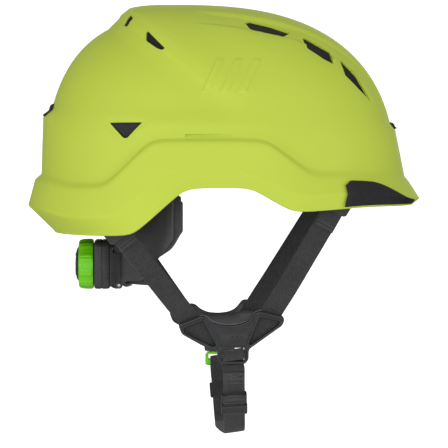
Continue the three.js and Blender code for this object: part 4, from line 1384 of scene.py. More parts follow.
def rounded_rectangle(w, h, r, count=8):
    points = []
    for cx, cy, start in ((1, -1, -90), (1, 1, 0), (-1, 1, 90), (-1, -1, 180)):
        for a in np.linspace(start, start + 90, count + 1):
            points.append(
                (
                    cx * (w / 2 - r) + r * math.cos(math.radians(a)),
                    cy * (h / 2 - r) + r * math.sin(math.radians(a)),
                )
            )
    return np.array(points)


def axial_loft(name, stations, material, crease=35):
    """Rings of (y, z) outlines round the knob's axis, each at its own x."""
    rings = []
    for x, outline in stations:
        rings.append([(x, y, KNOB_Z + z) for y, z in outline])
    return loft(name, rings, material, crease)


def housing_piece():
    outline = rounded_rectangle(42, 36.8, 5)
    front = HOUSING_BACK + 11.8
    stations = []
    for x, shrink in (
        (HOUSING_BACK, 1.8),
        (HOUSING_BACK + 0.35, 0.8),
        (HOUSING_BACK + 1.1, 0.2),
        (HOUSING_BACK + 2.2, 0.0),
        (HOUSING_BACK + 5.4, 0.0),
        (HOUSING_BACK + 5.6, 0.5),
        (HOUSING_BACK + 6.2, 0.5),
        (HOUSING_BACK + 6.4, 0.0),
        (front - 2.0, 0.0),
        (front - 0.5, 0.3),
        (front, 0.9),
        (front + 0.1, 1.6),
        (front + 2.4, 1.7),
    ):
        stations.append((x, outline * (1 - shrink / 20)))
    block = axial_loft("ratchet_housing_fine", stations, HOUSING_PLASTIC)
    tools = [
        cylinder_x("cavity_tool", 0, KNOB_Z, 14.5, front - 6, -60, HOUSING_PLASTIC, 64),
        cylinder_x("bore_tool", 0, KNOB_Z, 3.35, -130, -60, HOUSING_PLASTIC),
    ]
    for y in (-15.5, 15.5):
        for z in (-12.5, 12.5):
            tools.append(
                cylinder_x("screw_tool", y, KNOB_Z + z, 1.6, HOUSING_BACK + 3, -60, HOUSING_PLASTIC, 16)
            )
    boolean(block, tools)
    finish_surface(block, 35)
    return block


def rib_template(length, width, height):
    return box_piece(
        "rib_template",
        (-length / 2, -width / 2, -height),
        (length / 2, width / 2, height),
        HOUSING_PLASTIC,
        0.15,
        2,
    )


housing = housing_piece()
side_lines, side_outs = [], []
for sign in (-1, 1):
    x = HOUSING_BACK + 8.6
    side_lines.append(np.array([(x, sign * 21, z) for z in np.linspace(KNOB_Z - 12.5, KNOB_Z + 12.5, 3)]))
    side_outs.append(np.array([0, sign, 0]))
ribs = part_row("housing_ribs", side_lines, side_outs, rib_template(1.0, 3.4, 0.45), 2.5, HOUSING_PLASTIC)
# upright ribs on the cradle beside the housing, and the lugs below them
arc_lines, arc_outs = [], []
for sign in (-1, 1):
    arc = np.radians(np.linspace(15.5, 25, 8)) * sign
    outward = np.stack([-np.cos(arc), np.sin(arc), np.zeros(8)], 1)
    arc_lines.append(outward * 80.4 + np.array([HEAD_X, 0, -61.5]))
    arc_outs.append(outward)
side_ribs = part_row("cradle_ribs", arc_lines, arc_outs, rib_template(1.3, 24, 2.3), 3.1, HOUSING_PLASTIC)
lugs = []
for sign in (-1, 1):
    lugs.append(cylinder_y("lug", -80.3, -73.6, 2.6, sign * 28.5, sign * 34.6, HOUSING_PLASTIC))
    lugs.append(cylinder_y("lug_pin", -80.3, -73.6, 1.35, sign * 34.0, sign * 35.4, STEEL))
lugs = [round_edges(lug, 0.4, 2) for lug in lugs]
housing = joined("ratchet_housing_fine", [housing, ribs, side_ribs, *lugs])
finish_surface(housing, 35)
settle(housing, "cradle", "plastic", "ratchet_housing")

KNOB_FRONT = HOUSING_BACK - 0.6


def grip_waves(x, r, angles):
    """Ten shallow grip hollows, each with a fine notch between them."""
    lobes = 1.0 * smooth((1 + np.cos(10 * angles)) / 2)
    notch = 0.55 * np.exp(-((((angles * 10 / (2 * np.pi)) % 1 - 0.5) / 0.045) ** 2))
    body = 1.0 if KNOB_FRONT - 10.4 < x < KNOB_FRONT - 0.9 else 0.55
    return r - np.where(r > 16, (lobes + notch) * body, 0)


grip = turned_piece(
    "knob_grip_fine",
    [
        (KNOB_FRONT - 9.4, 13.4),
        (KNOB_FRONT - 11.0, 13.5),
        (KNOB_FRONT - 11.5, 14.2),
        (KNOB_FRONT - 11.5, 16.4),
        (KNOB_FRONT - 11.1, 17.6),
        (KNOB_FRONT - 10.3, 18.5),
        (KNOB_FRONT - 8.0, 19.1),
        (KNOB_FRONT - 4.0, 19.4),
        (KNOB_FRONT - 1.4, 19.3),
        (KNOB_FRONT - 0.4, 18.9),
        (KNOB_FRONT, 18.2),
        (KNOB_FRONT, 3.35),
        (KNOB_FRONT - 9.4, 3.35),
    ],
    KNOB_Z,
    GREEN,
    360,
    grip_waves,
)
CAP_FRONT = KNOB_FRONT - 11.5 + 2.5 - 0.4
cap_profile = [(CAP_FRONT, 0.01), (CAP_FRONT, 12.6), (CAP_FRONT - 0.4, 13.0), (CAP_FRONT - 2.3, 13.0)]
for t in np.linspace(0.05, 0.99, 12):
    cap_profile.append(
        (CAP_FRONT - (2.4 + 2.4 * math.sin(t * math.pi / 2)), 12.8 * math.cos(t * math.pi / 2) + 0.02)
    )
cap = turned_piece("knob_cap_fine", cap_profile, KNOB_Z, CAP_PLASTIC, 96)


def cap_mark():
    """Two turning arrows pressed on the cap's face."""
    marks = []
    for start in (0.35, 0.35 + math.pi):
        rings = []
        for a in np.linspace(start, start + 1.9, 26):
            width = 1.1 if a < start + 1.45 else 2.4 * (start + 1.9 - a) / 0.45 + 0.02
            ring = []
            for r, lift in (
                (8.2 - width / 2, 0.0),
                (8.2 - width / 2, 0.45),
                (8.2 + width / 2, 0.45),
                (8.2 + width / 2, 0.0),
            ):
                depth = 2.4 + 2.4 * math.sin(math.acos(min(1, r / 12.8)))
                ring.append((CAP_FRONT - depth - lift + 0.15, r * math.cos(a), KNOB_Z + r * math.sin(a)))
            rings.append(ring)
        marks.append(loft("cap_arrow", rings, CAP_PLASTIC, 30))
    return marks


cap = joined("knob_cap_fine", [cap, *cap_mark()])
finish_surface(cap, 35)
settle(grip, "knob", "green", "knob_grip")
settle(cap, "knob", "trim", "knob_cap")

for name, material in (
    ("pinion_shaft", HOUSING_PLASTIC),
    ("rack_left", BAND_PLASTIC),
    ("rack_right", BAND_PLASTIC),
    ("click_spring", STEEL),
    ("cradle_pin_right", BAND_PLASTIC),
    ("cradle_pin_left", BAND_PLASTIC),
    ("housing_screw_1", STEEL),
    ("housing_screw_2", STEEL),
    ("housing_screw_3", STEEL),
    ("housing_screw_4", STEEL),
):
    nodes[name].data.materials.clear()
    nodes[name].data.materials.append(material)


# ---------- side harness: yokes and the four straps ----------
FRONT_ANCHOR, REAR_ANCHOR = np.array([83, -76.92, -8.0]), np.array([-82, -82.25, -28.0])
YOKES = {"right": np.array([4, -60, -112.0]), "left": np.array([-2, -60, -112.0])}
STRAP_WIDTH, STRAP_THICK, PLATE = 16.0, 1.6, 3.2
FOOT_MIDDLE, FOOT_HALF, SLOT_HALF = 1.4, 8.8, 8.3


class HarnessPlane:
    """The flat plane through a yoke and its two anchors. Side-view x and z become places in it."""

    def __init__(self, yoke):
        upward = (FRONT_ANCHOR + REAR_ANCHOR) / 2 - yoke
        out = unit(np.cross(FRONT_ANCHOR - REAR_ANCHOR, upward))
        out = -out if out[1] > 0 else out
        right = unit(-np.cross([0, 0, 1.0], out))
        self.right = right if right[0] > 0 else -right
        up = unit(np.cross(out, self.right))
        self.up = up if up[2] > 0 else -up
        self.out = np.cross(self.right, self.up)
        self.yoke = yoke

    def flat(self, x, z):
        v = z / self.up[2]
        return (x - v * self.up[0]) / self.right[0], v

    def spot(self, u, v, w=0.0):
        return self.yoke + self.right * u + self.up * v + self.out * w

    def local(self, point):
        return float((point - self.yoke) @ self.right), float((point - self.yoke) @ self.up)

    def outline(self, pairs, radius, count=6):
        return rounded([self.flat(x, z) for x, z in pairs], radius, count)


YOKE_TOP = [
    (-40, 11),
    (-22.4, 18),
    (-18.7, 17),
    (-15, 13.5),
    (-9, 11),
    (-0.8, 10.4),
    (7, 11.4),
    (12, 13.6),
    (15.2, 17),
    (17.8, 20.4),
    (21, 21.2),
    (38.3, 17),
    (39.6, 14.4),
    (38.3, 10),
]
FOOT_RIGHT, FOOT_LEFT = FOOT_MIDDLE + FOOT_HALF + 2.8, FOOT_MIDDLE - FOOT_HALF - 3.2
YOKE_FEET = {
    "right": [
        (FOOT_RIGHT, -8.2),
        (FOOT_RIGHT, -15.8),
        (FOOT_RIGHT - 2.6, -19.4),
        (FOOT_LEFT + 2.6, -19.4),
        (FOOT_LEFT, -16),
        (FOOT_LEFT, -9),
    ],
    "left": [(FOOT_RIGHT, -8.2), (FOOT_LEFT, -9)],
}
YOKE_TAIL = [(-21, -5.6), (-37.3, 3.7)]
REAR_WINDOW = [(-35.6, 8.6), (-21.8, 14.2), (-11.4, -5), (-14, -5.8), (-35.6, 5.2)]
FRONT_WINDOW = [(21.2, 16.6), (36, 13.2), (35.6, 10.6), (15.2, -4.6), (13, -4.2)]
UPPER_SLOT, LOWER_SLOT = (-10.6, -6.9), (-17, -14.2)
CENTRE_PANEL = [(-12.2, 4.6), (-4, 3.6), (8, 3.8), (16.6, 6.6), (11.2, -5.6), (-8.0, -6.0)]


def slot_outline(low, high):
    a, b = FOOT_MIDDLE - SLOT_HALF, FOOT_MIDDLE + SLOT_HALF
    return [(a, low), (b, low), (b, high), (a, high)]


def inset_loop(loop, distance):
    """A closed loop moved inwards (or outwards, if negative) by a distance."""
    before, after = np.roll(loop, 1, axis=0), np.roll(loop, -1, axis=0)
    run = unit(after - before)
    area = np.sum(loop[:, 0] * after[:, 1] - after[:, 0] * loop[:, 1])
    inward = np.stack([-run[:, 1], run[:, 0]], 1) * np.sign(area)
    return loop + inward * distance


def bead(name, loop, height, radius, material, closed=True):
    """A half-sunk round bead along a loop in the drawing plane."""
    loop = np.asarray(loop, float)
    keep = [0]
    for k in range(1, len(loop)):
        if np.linalg.norm(loop[k] - loop[keep[-1]]) > 0.35:
            keep.append(k)
    loop = loop[keep]
    before, after = np.roll(loop, 1, axis=0), np.roll(loop, -1, axis=0)
    if not closed:
        before[0], after[-1] = loop[0], loop[-1]
    run = unit(after - before)
    side = np.stack([-run[:, 1], run[:, 0]], 1)
    angles = np.linspace(0, 2 * np.pi, 10, endpoint=False)
    rings = []
    for p, s in zip(loop, side):
        rings.append([(*(p + s * radius * math.cos(a)), height + radius * math.sin(a)) for a in angles])
    return loft(name, rings, material, 50, closed=closed)


def weave_map(piece, turn):
    """Lays the weave over a flat piece, turned by an angle."""
    layer = piece.data.uv_layers.new(name="weave")
    c, s = math.cos(turn), math.sin(turn)
    for loop in piece.data.loops:
        x, y, _ = piece.data.vertices[loop.vertex_index].co / MM
        layer.data[loop.index].uv = (x * c + y * s, y * c - x * s)
    return piece


def yoke_piece(side, plane):
    edge = plane.outline(YOKE_TOP + YOKE_FEET[side] + YOKE_TAIL, 2.4)
    windows = [plane.outline(w, 1.2) for w in (REAR_WINDOW, FRONT_WINDOW)]
    slots = []
    if side == "right":
        slots = [plane.outline(slot_outline(*s), 0.9) for s in (UPPER_SLOT, LOWER_SLOT)]
    plate = flat_plate("yoke_plate", edge, 2.8, PLASTIC, 0.55, windows + slots, -1.6)
    panel = flat_plate("panel_cut", plane.outline(CENTRE_PANEL, 1.2), 2.0, PLASTIC, 0.2, (), 0.35)
    boolean(plate, [panel])
    finish_surface(plate, 45)
    parts = [plate, bead("edge_bead", inset_loop(edge, 1.2), 1.05, 0.95, PLASTIC)]
    for window in windows:
        parts.append(bead("window_bead", inset_loop(window, -0.9), 1.1, 0.75, PLASTIC))
    # a generic mark: three slanting bars
    for k in range(3):
        u = -1.5 + 3.4 * k
        bar = rounded([(u, -3.6), (u + 1.5, -3.6), (u + 3.1, 1.6), (u + 1.6, 1.6)], 0.3, 3)
        parts.append(flat_plate("yoke_mark", bar, 0.75, PLASTIC, 0.12, (), 0.15))
    # ridges along the upper edge, and ribs that meet the panel's corners
    for a, b in (((-12.6, 4.8), (-17.4, 14.6)), ((17.0, 6.8), (16.4, 17.0))):
        line = np.linspace(plane.flat(*a), plane.flat(*b), 12)
        parts.append(bead("corner_rib", line, 1.05, 0.5, PLASTIC, closed=False))
    # folded webbing fills the windows from behind
    for window, turn in zip(windows, (0.6, -0.45)):
        fold = flat_plate("window_fold", inset_loop(window, -1.9), 1.3, WEBBING, 0.3, (), -2.95)
        parts.append(weave_map(fold, turn))
    made = joined("yoke_fine_" + side, parts)
    return lay_down(made, plane.yoke, plane.right, plane.up)


def rail_height(u):
    """Height of the yoke's lower rail, which the straps' folded ends stay above."""
    return np.interp(u, [-40, -37.3, -21, -12, 13, 38.3, 42], [6, 3.7, -5.6, -8.4, -8.2, 10, 13]) + 1.7


def harness_strap(name, plane, hold, anchor, material):
    start = np.array(plane.flat(*hold))
    end = np.array(plane.local(anchor))
    length = float(np.linalg.norm(end - start))
    du, dv = (end - start) / length
    inner = -(PLATE / 2 + 0.4 + STRAP_THICK / 2)
    steps = np.linspace(-23, length, int(length / 1.6))

    def lift(d):
        return inner * (1 - smooth((d - 6) / 24)) - 0.5 * math.sin(math.pi * np.clip(d / length, 0, 1)) * 0.6

    line = np.array([plane.spot(start[0] + du * d, start[1] + dv * d, lift(d)) for d in steps])
    across = plane.right * dv - plane.up * du
    strap = ribbon(name, line, across, STRAP_WIDTH, STRAP_THICK, material, resample=False)
    # the folded end stays behind the yoke's rails
    mesh = strap.data
    points = np.empty(len(mesh.vertices) * 3)
    mesh.vertices.foreach_get("co", points)
    points = points.reshape(-1, 3) / MM
    u = (points - plane.yoke) @ plane.right
    v = (points - plane.yoke) @ plane.up
    w = (points - plane.yoke) @ plane.out
    low = (u > -40) & (u < 42) & (v < 22)
    v = np.where(low, np.maximum(v, rail_height(u) / plane.up[2]), v)
    points = plane.yoke + u[:, None] * plane.right + v[:, None] * plane.up + w[:, None] * plane.out
    mesh.vertices.foreach_set("co", (points * MM).ravel())
    mesh.update()

    def place(d, s, lifted):
        """A point d along the strap and s across it, lifted outwards from its middle."""
        u, v = start[0] + du * d + dv * s, start[1] + dv * d - du * s
        return plane.spot(u, v, lift(d) + lifted)

    return strap, place, length


def stitched(name, lines, outs, step=2.6):
    return part_row(name, lines, outs, stitch_template(), step, THREAD)


def folded_end(name, place, length, plane, reach, material, tilt=0.0):
    """The strap's turned-back end near its anchor, sewn down across its lower edge."""
    spots = np.linspace(length - reach, length - 1.5, 14)
    rise = STRAP_THICK + 0.15
    line = np.array(
        [
            place(d, tilt * (1 - (d - spots[0]) / reach), rise * float(smooth((d - spots[0] + 3) / 3)))
            for d in spots
        ]
    )
    direction = unit(place(0, 1, 0) - place(0, -1, 0))
    layer = ribbon(name, line, direction, STRAP_WIDTH - 0.6, STRAP_THICK, material, resample=False)
    top = rise + STRAP_THICK / 2 + 0.1
    rows = []
    for d in (spots[0] + 1.6, spots[0] + 4.4):
        rows.append(np.array([place(d, s, top) for s in np.linspace(-6.6, 6.6, 12)]))
    seam = stitched(name + "_seam", rows, [plane.out] * len(rows), 1.7)
    return joined(name, [layer, seam])


def anchor_piece(name, plane, anchor, hold):
    """A moulded clip that holds the strap's top inside the rim, with a slot for the strap and a screw."""
    start, end = np.array(plane.flat(*hold)), np.array(plane.local(anchor))
    du, dv = unit(end - start)
    across = plane.right * dv - plane.up * du
    up = plane.right * du + plane.up * dv
    body = flat_plate(name, rounded_rectangle(21.2, 15, 2.6), 6.8, PLASTIC, 1.1, (), -3.4)
    lay_down(body, anchor + up * -1.5, across, up)
    slot = box_piece("slot_tool", (-8.4, -12, -1.2), (8.4, 8, 1.2), PLASTIC, 0.4)
    lay_down(slot, anchor + up * -1.5, across, up)
    boolean(body, [slot])
    finish_surface(body, 40)
    screw = turned_screw(name + "_screw")
    lay_down(screw, anchor + up * 2.6 + plane.out * 3.4, across, up)
    return joined(name, [body, screw])


def turned_screw(name):
    """A countersunk screw head with a cross recess, drawn lying in its own plane."""
    angles = np.linspace(0, 2 * np.pi, 25)[:-1]
    rings = []
    for z, r in ((-1.2, 2.2), (0.1, 2.4), (0.35, 2.2), (0.5, 1.4), (0.1, 1.1), (-0.3, 0.5)):
        wave = 1 - (0.25 * np.abs(np.sin(2 * angles)) if z in (0.1, -0.3) and r < 2 else 0)
        rings.append(np.stack([r * wave * np.cos(angles), r * wave * np.sin(angles), np.full(24, z)], 1))
    return loft(name, rings, STEEL, 35)


def onto_side(piece, side):
    """Pieces are made on the right; the left ones are mirrored over."""
    if side == "right":
        return piece
    name = piece.name
    piece.name = name + "_drawn"
    copy = mirrored(piece, name)
    bpy.data.objects.remove(piece)
    return copy


for side in ("right", "left"):
    plane = HarnessPlane(YOKES[side])
    settle(onto_side(yoke_piece(side, plane), side), "helmet", "plastic", "yoke_" + side)
    cover_edge = [(-30, 3), (-20, 9), (-14, 8), (13, 9), (20, 13), (32, 10), (12, -5.2), (-11, -6)]
    back = -(PLATE / 2 + 0.8 + STRAP_THICK + 1.8)
    cover = flat_plate("yoke_cover_fine_" + side, plane.outline(cover_edge, 3), 1.8, PLASTIC, 0.5, (), back)
    lay_down(cover, plane.yoke, plane.right, plane.up)
    settle(onto_side(cover, side), "helmet", "plastic", "yoke_cover_" + side)
    for end, hold, anchor in (("rear", (-28, 9.5), REAR_ANCHOR), ("front", (28, 15.2), FRONT_ANCHOR)):
        strap, place, length = harness_strap(f"{end}_strap_fine_{side}", plane, hold, anchor, WEBBING)
        fold = folded_end("strap_fold", place, length, plane, 24 if end == "front" else 17, WEBBING, 0.5)
        strap = joined(f"{end}_strap_fine_{side}", [strap, fold])
        settle(onto_side(strap, side), "helmet", "webbing", f"{end}_strap_{side}")
        clip = anchor_piece(f"{end}_anchor_fine_{side}", plane, anchor, hold)
        settle(onto_side(clip, side), "helmet", "plastic", f"{end}_anchor_{side}")

# ---------- chin strap ----------
PIVOT = np.array([5, -57.5, -133.0])
LEG_TOPS = {"right": PIVOT + np.array([0.9, 0, 0]), "left": np.array([-2, 57.5, -133.0])}
CORNER_Y, CORNER_Z, BEND = 23.0, -173.0, 11.0


class ChinLeg:
    def __init__(self, side):
        self.top = LEG_TOPS[side]
        self.out = -1 if side == "right" else 1
        self.low_x = 7.2 if side == "right" else 1.6
        a, b = abs(self.top[1]) - CORNER_Y, self.top[2] - CORNER_Z
        self.slant = math.acos(BEND / math.hypot(a, b)) - math.atan2(b, a)
        self.length = b * math.cos(self.slant) + a * math.sin(self.slant)

    def x_at(self, share):
        return mix(self.top[0], self.low_x, min(1.0, share * 1.25))

    def at(self, down, offset=0.0):
        y = abs(self.top[1]) - down * math.sin(self.slant) + offset * math.cos(self.slant)
        z = self.top[2] - down * math.cos(self.slant) - offset * math.sin(self.slant)
        return np.array([self.x_at(0.7 * down / self.length), self.out * y, z])

    def corner(self, t, offset=0.0):
        turn, r = mix(-self.slant, -math.pi / 2, t), BEND + offset
        return np.array(
            [
                self.x_at(0.7 + 0.2 * t),
                self.out * (CORNER_Y + r * math.cos(turn)),
                CORNER_Z + r * math.sin(turn),
            ]
        )

    def down(self, z):
        return (self.top[2] - z) / math.cos(self.slant)

    def normal(self):
        return unit(self.at(10, 1) - self.at(10, 0))


near_leg, far_leg = ChinLeg("right"), ChinLeg("left")
# the width of the chin webbing, and of all that runs on it, lies along this line
LEG_ACROSS = (1, 0, 0.14)


def bend_path(offset):
    near = [near_leg.corner(t, offset) for t in np.linspace(0, 1, 6)]
    far = [far_leg.corner(t, offset) for t in np.linspace(1, 0, 6)]
    middle = [
        mix(near[-1], far[0], t) + np.array([0, 0, -0.7 * math.sin(math.pi * t)]) for t in (0.25, 0.5, 0.75)
    ]
    return near + middle + far


def foot_loop(plane):
    """Over the bar between the yoke's foot slots and down behind its end bar."""
    top, low = UPPER_SLOT[0] + 1.1, sum(LOWER_SLOT) / 2
    face = PLATE / 2 + 0.4 + 0.75
    path = [
        (LOWER_SLOT[0] - 3.2, -face - 1.8),
        (top - 1.9, -face - 1.8),
        (top - 0.5, -face - 1.1),
        (top, -face + 0.6),
        (top, face - 1.8),
        (top - 0.5, face - 0.5),
        (top - 1.7, face),
        (low + 1.7, face),
        (low + 0.5, face - 0.5),
        (low, face - 1.8),
        (low, -face + 1.4),
        (low - 0.5, -face + 0.3),
        (low - 1.8, -face),
        (LOWER_SLOT[0] - 2.4, -face),
    ]
    return [plane.spot(*plane.flat(FOOT_MIDDLE, z), w) for z, w in path]


def chin_webbing():
    plane = HarnessPlane(YOKES["right"])
    loop = foot_loop(plane)
    near = [near_leg.at(2.6), near_leg.at(near_leg.down(-146)), near_leg.at(near_leg.down(-158))]
    far = [far_leg.at(far_leg.down(z)) for z in (-158, -149, -144)]
    bar = (
        (54.5, -139.8),
        (54.8, -136.9),
        (56.9, -135.35),
        (60.6, -135.35),
        (62.9, -137.0),
        (63.0, -140.5),
        (61.0, -144.2),
    )
    turn = [np.array([far[-1][0], y, z]) for y, z in bar]
    back = [far_leg.at(far_leg.down(-148), 2.6), far_leg.at(far_leg.down(-150.9), 1.8)]
    path = loop + near + bend_path(0) + far + turn + back
    return ribbon("chin_strap_fine", path, LEG_ACROSS, STRAP_WIDTH + 0.3, 1.5, WEBBING, 1.2)


def on_leg(leg, down, across, offset):
    return leg.at(down, offset) + np.array([across, 0, 0])


chin_strap = chin_webbing()
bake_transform(chin_strap)
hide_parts("chin_strap", "strap_loop")

# the loop's sewn-down end on the near leg
sewn = ribbon(
    "sewn_end",
    [near_leg.at(d, 1.62) for d in (4.0, 9.0, 15.2)],
    LEG_ACROSS,
    STRAP_WIDTH - 0.3,
    1.4,
    WEBBING,
    1.3,
)
sewn_lines = [
    np.array([on_leg(near_leg, d, s, 2.45) for s in np.linspace(-7, 7, 9)]) for d in (5.4, 9.6, 10.5, 13.6)
]
sewn_lines += [
    np.array([on_leg(near_leg, d, s, 2.45) for d in np.linspace(5.4, 13.6, 6)]) for s in (-6.6, 6.6)
]
for a, b in ((-6.4, 6.4), (6.4, -6.4)):
    sewn_lines.append(
        np.array([on_leg(near_leg, mix(5.6, 9.4, t), mix(a, b, t), 2.45) for t in np.linspace(0, 1, 6)])
    )
sewn_seam = stitched("sewn_end_seam", sewn_lines, [near_leg.normal()] * len(sewn_lines), 1.5)
settle(joined("sewn_end_fine", [sewn, sewn_seam]), "chin", "webbing")

LAP = STRAP_THICK + 0.3
tail_path = [near_leg.at(near_leg.down(z), LAP) for z in (-154.5, -160, -166)] + bend_path(LAP)
tail_path += [far_leg.at(far_leg.down(z), LAP) for z in (-166, -159, -152)]
tail = ribbon("strap_tail_fine", tail_path, LEG_ACROSS, STRAP_WIDTH, 1.5, WEBBING, 1.3)
settle(tail, "chin", "webbing", "strap_tail")


def ring_round(leg, z, height, wall, extra, material, name):
    """A moulded ring round the strap, its edges rounded."""
    here = leg.at(leg.down(z), LAP / 2)
    up = unit(leg.at(leg.down(z) - 5, LAP / 2) - here)
    across = unit(np.array(LEG_ACROSS) - up * np.dot(up, LEG_ACROSS))
    w, t = STRAP_WIDTH + 0.8 + extra, LAP + STRAP_THICK + 0.8
    ring = flat_plate(
        name,
        rounded_rectangle(w + 2 * wall, t + 2 * wall, 1.6),
        height,
        material,
        0.5,
        [rounded_rectangle(w, t, 0.5)],
        -height / 2,
    )
    # drawn across and through; the extrusion runs along the leg
    through = np.cross(up, across)
    frame_turn = Matrix((Vector(across), Vector(through), Vector(up))).transposed().to_4x4()
    frame_turn.translation = Vector(here) * MM
    ring.data.transform(frame_turn)
    return ring, here, across, through, up, t


def slider_piece():
    wall = 0.9
    ring, here, across, through, up, t = ring_round(
        near_leg, -157.2, 7.4, wall, 0.4, PLASTIC, "strap_slider_fine"
    )
    outward = through if through[1] < 0 else -through
    face = t / 2 + wall
    parts = [ring]
    # the arched bar at the top and the straight one below it
    for height, bow, radius in ((1.6, 2.0, 1.35), (-3.0, 0.0, 0.9)):
        angles = np.linspace(0, 2 * np.pi, 12, endpoint=False)
        rings = []
        for s in np.linspace(-1, 1, 25):
            centre = (
                here + across * s * 8.9 + up * (height + bow * (1 - s * s))
                + outward * (face + 0.25 - 0.5 * s * s)
            )
            rings.append(
                [centre + up * radius * math.cos(a) + outward * radius * 0.8 * math.sin(a) for a in angles]
            )
        parts.append(loft("slider_bar", rings, PLASTIC, 50))
    return joined("strap_slider_fine", parts)


settle(slider_piece(), "slider", "plastic", "strap_slider")


def keeper_piece(name, leg, z, height):
    """A sewn band of webbing round both layers of the strap."""
    here = leg.at(leg.down(z), LAP / 2)
    up = unit(leg.at(leg.down(z) - 5, LAP / 2) - here)
    across = unit(np.array(LEG_ACROSS) - up * np.dot(up, LEG_ACROSS))
    through = np.cross(up, across)
    outline = rounded_rectangle(STRAP_WIDTH + 2.8, LAP + STRAP_THICK + 1.6, 0.9, 4)
    outline = np.roll(outline, 4, axis=0)
    line = [here + across * x + through * y for x, y in outline]
    line = line + [line[0] + through * 0.0]
    band = ribbon(name, line, up, height, 0.9, WEBBING_EDGE, 0.9)
    outward = through if through[1] * leg.out > 0 else -through
    face = (LAP + STRAP_THICK + 1.6) / 2 + 0.5
    lines = []
    for v in (-height / 2 + 1.1, height / 2 - 1.1):
        lines.append(
            np.array([here + across * s + up * v + outward * face for s in np.linspace(-7.6, 7.6, 8)])
        )
    return joined(name, [band, stitched(name + "_seam", lines, [outward] * 2, 2.3)])


settle(keeper_piece("slider_keeper_fine", near_leg, -166, 8), "lower_keeper", "webbing", "slider_keeper")
settle(keeper_piece("tail_keeper_fine", far_leg, -160, 11), "upper_keeper", "webbing", "tail_keeper")

# ---------- buckle ----------
MOUTH, BUCKLE_X, BUCKLE_Y = -131.5, -2.0, 58.7


def upright_plate(name, outline, depth, material, bevel, holes=(), low=0.0):
    """Drawn across (x) and up (z); its thickness runs inwards from the left side."""
    plate = flat_plate(name, outline, depth, material, bevel, holes, low)
    return lay_down(plate, (BUCKLE_X, BUCKLE_Y, MOUTH), (-1, 0, 0), (0, 0, 1))


def plug_piece():
    frame_edge = rounded(
        [(-11, -11.4), (11, -11.4), (11.2, -4), (10.2, -0.5), (-10.2, -0.5), (-11.2, -4)], 2.0
    )
    window = rounded([(-8.8, -5.9), (8.8, -5.9), (8.8, -2.4), (-8.8, -2.4)], 0.8)
    body = upright_plate("buckle_plug_fine", frame_edge, 6.4, GREEN, 1.2, [window], -3.2)
    tongue = upright_plate(
        "tongue",
        rounded([(-8.2, -1.4), (8.2, -1.4), (8.2, 5.8), (6.8, 7.3), (-6.8, 7.3), (-8.2, 5.8)], 1.0),
        2.6,
        GREEN,
        0.5,
        [],
        -1.3,
    )
    grips = []
    for side in (-1, 1):
        grips.append(
            np.array([(BUCKLE_X + side * 11.1, BUCKLE_Y, z) for z in np.linspace(MOUTH - 10, MOUTH - 3, 4)])
        )
    ridges = part_row(
        "plug_ridges",
        grips,
        [np.array([-1.0, 0, 0]), np.array([1.0, 0, 0])],
        rib_template(0.7, 4.4, 0.35),
        1.5,
        GREEN,
    )
    return joined("buckle_plug_fine", [body, tongue, ridges])


def socket_piece():
    outline = rounded([(-12, 0), (12, 0), (12, 6.4), (9.6, 9.8), (-9.6, 9.8), (-12, 6.4)], 2.0)
    body = upright_plate("buckle_socket_fine", outline, 8.4, PLASTIC, 1.3, [], -4.2)
    low, high = (-8.85, -2.3, -1.0), (8.85, 2.3, 8.0)
    pocket = box_piece(
        "pocket_tool",
        (BUCKLE_X + low[0], BUCKLE_Y + low[1], MOUTH + low[2]),
        (BUCKLE_X + high[0], BUCKLE_Y + high[1], MOUTH + high[2]),
        PLASTIC,
        0.4,
    )
    boolean(body, [pocket])
    finish_surface(body, 40)
    button = upright_plate(
        "button", rounded_rectangle(9, 4.6, 1.5) + np.array([0, 5.0]), 1.6, GREEN, 0.5, [], -4.9
    )
    return joined("buckle_socket_fine", [body, button])


settle(plug_piece(), "chin", "green", "buckle_plug")
settle(socket_piece(), "helmet", "plastic", "buckle_socket")


# ---------- raised marks on the shell's sides ----------
def raised_mark(corners, side, height=0.8):
    """A raised slanting bar that follows the shell. corners: side-view x and z, in order round it."""
    a, b, c, d = (np.array(p, float) for p in corners)
    columns, rows = 12, 26
    top, under = [], []
    for i in range(columns + 1):
        top_row, under_row = [], []
        for j in range(rows + 1):
            s, t = i / columns, j / rows
            x, z = mix(mix(a, b, s), mix(d, c, s), t)
            spot, normal = shell_surface(x, z, side)
            edge = min(s * 4, (1 - s) * 4, t * 12, (1 - t) * 12)
            lift = height * float(smooth(edge * 1.1))
            top_row.append(spot + normal * (lift + 0.02))
            under_row.append(spot - normal * 0.8)
        top.append(top_row)
        under.append(under_row)
    rings = [t + u[::-1] for t, u in zip(top, under)]
    return loft("raised_mark", rings, SHELL, 60)


marks = []
for side in (-1, 1):
    for k in range(3):
        x = -20 + 13.5 * k
        marks.append(raised_mark([(x, 71), (x + 7, 71), (x + 19, 97), (x + 12, 97)], side))
mark_piece = joined("shell_marks", marks)
settle(mark_piece, "helmet", "shell")


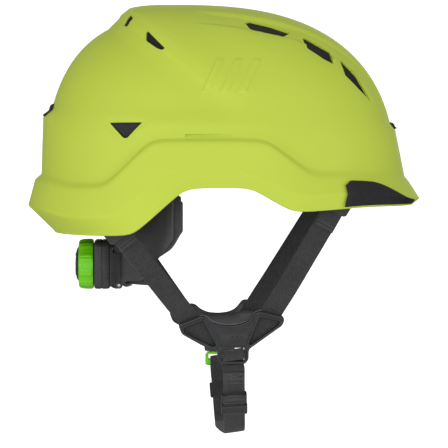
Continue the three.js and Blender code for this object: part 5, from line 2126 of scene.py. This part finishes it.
# ---------- floor, backdrop and lights ----------
def stage():
    """A pale studio shell all round, seen only directly, so that it throws no light on the helmet."""
    work = bmesh.new()
    bmesh.ops.create_icosphere(work, subdivisions=4, radius=9)
    bmesh.ops.reverse_faces(work, faces=work.faces)
    mesh = bpy.data.meshes.new("backdrop")
    work.to_mesh(mesh)
    work.free()
    backdrop = bpy.data.objects.new("backdrop", mesh)
    pale, tree, shader = new_material("pale_paper", (250, 250, 250), 0.9)
    points = object_points(tree)
    vary_colour(tree, shader, noise(tree, points, 3), (249, 249, 249), (252, 252, 252))
    shader.inputs["Emission Color"].default_value = (1, 1, 1, 1)
    shader.inputs["Emission Strength"].default_value = 1.0
    bpy.context.scene.collection.objects.link(backdrop)
    mesh.materials.append(pale)
    backdrop.visible_diffuse = False
    backdrop.visible_glossy = False
    backdrop.visible_transmission = False
    backdrop.visible_shadow = False


def lamp(name, place, aim, size, power, colour=(1, 1, 1)):
    light = bpy.data.lights.new(name, "AREA")
    light.shape = "RECTANGLE"
    light.size, light.size_y = size
    light.energy = power
    light.color = colour
    made = bpy.data.objects.new(name, light)
    bpy.context.scene.collection.objects.link(made)
    made.location = place
    made.rotation_euler = (Vector(place) - Vector(aim)).to_track_quat("Z", "Y").to_euler()
    return made


stage()
lamp("key", (-0.3, -1.6, 0.2), (0, 0, 0), (1.5, 1.0), 10.0)
lamp("front_fill", (1.2, -1.0, 0.1), (0, 0, 0), (0.9, 1.0), 6.0)
lamp("rear_fill", (-1.4, -0.8, 0.05), (0, 0, 0), (0.8, 0.9), 5.4)
lamp("low_bounce", (0.0, -0.9, -1.3), (0, 0, 0), (1.8, 1.2), 6.5)
lamp("back_fill", (0.3, 1.7, 0.3), (0, 0, 0), (1.6, 1.2), 5.0)
lamp("top_light", (0.1, 0.1, 1.6), (0, 0, 0), (1.2, 1.2), 2.6)
world = bpy.data.worlds.new("world")
bpy.context.scene.world = world
world.use_nodes = True
world.node_tree.nodes["Background"].inputs["Color"].default_value = (1, 1, 1, 1)
world.node_tree.nodes["Background"].inputs["Strength"].default_value = 0.28
bpy.context.scene.view_settings.view_transform = "Standard"
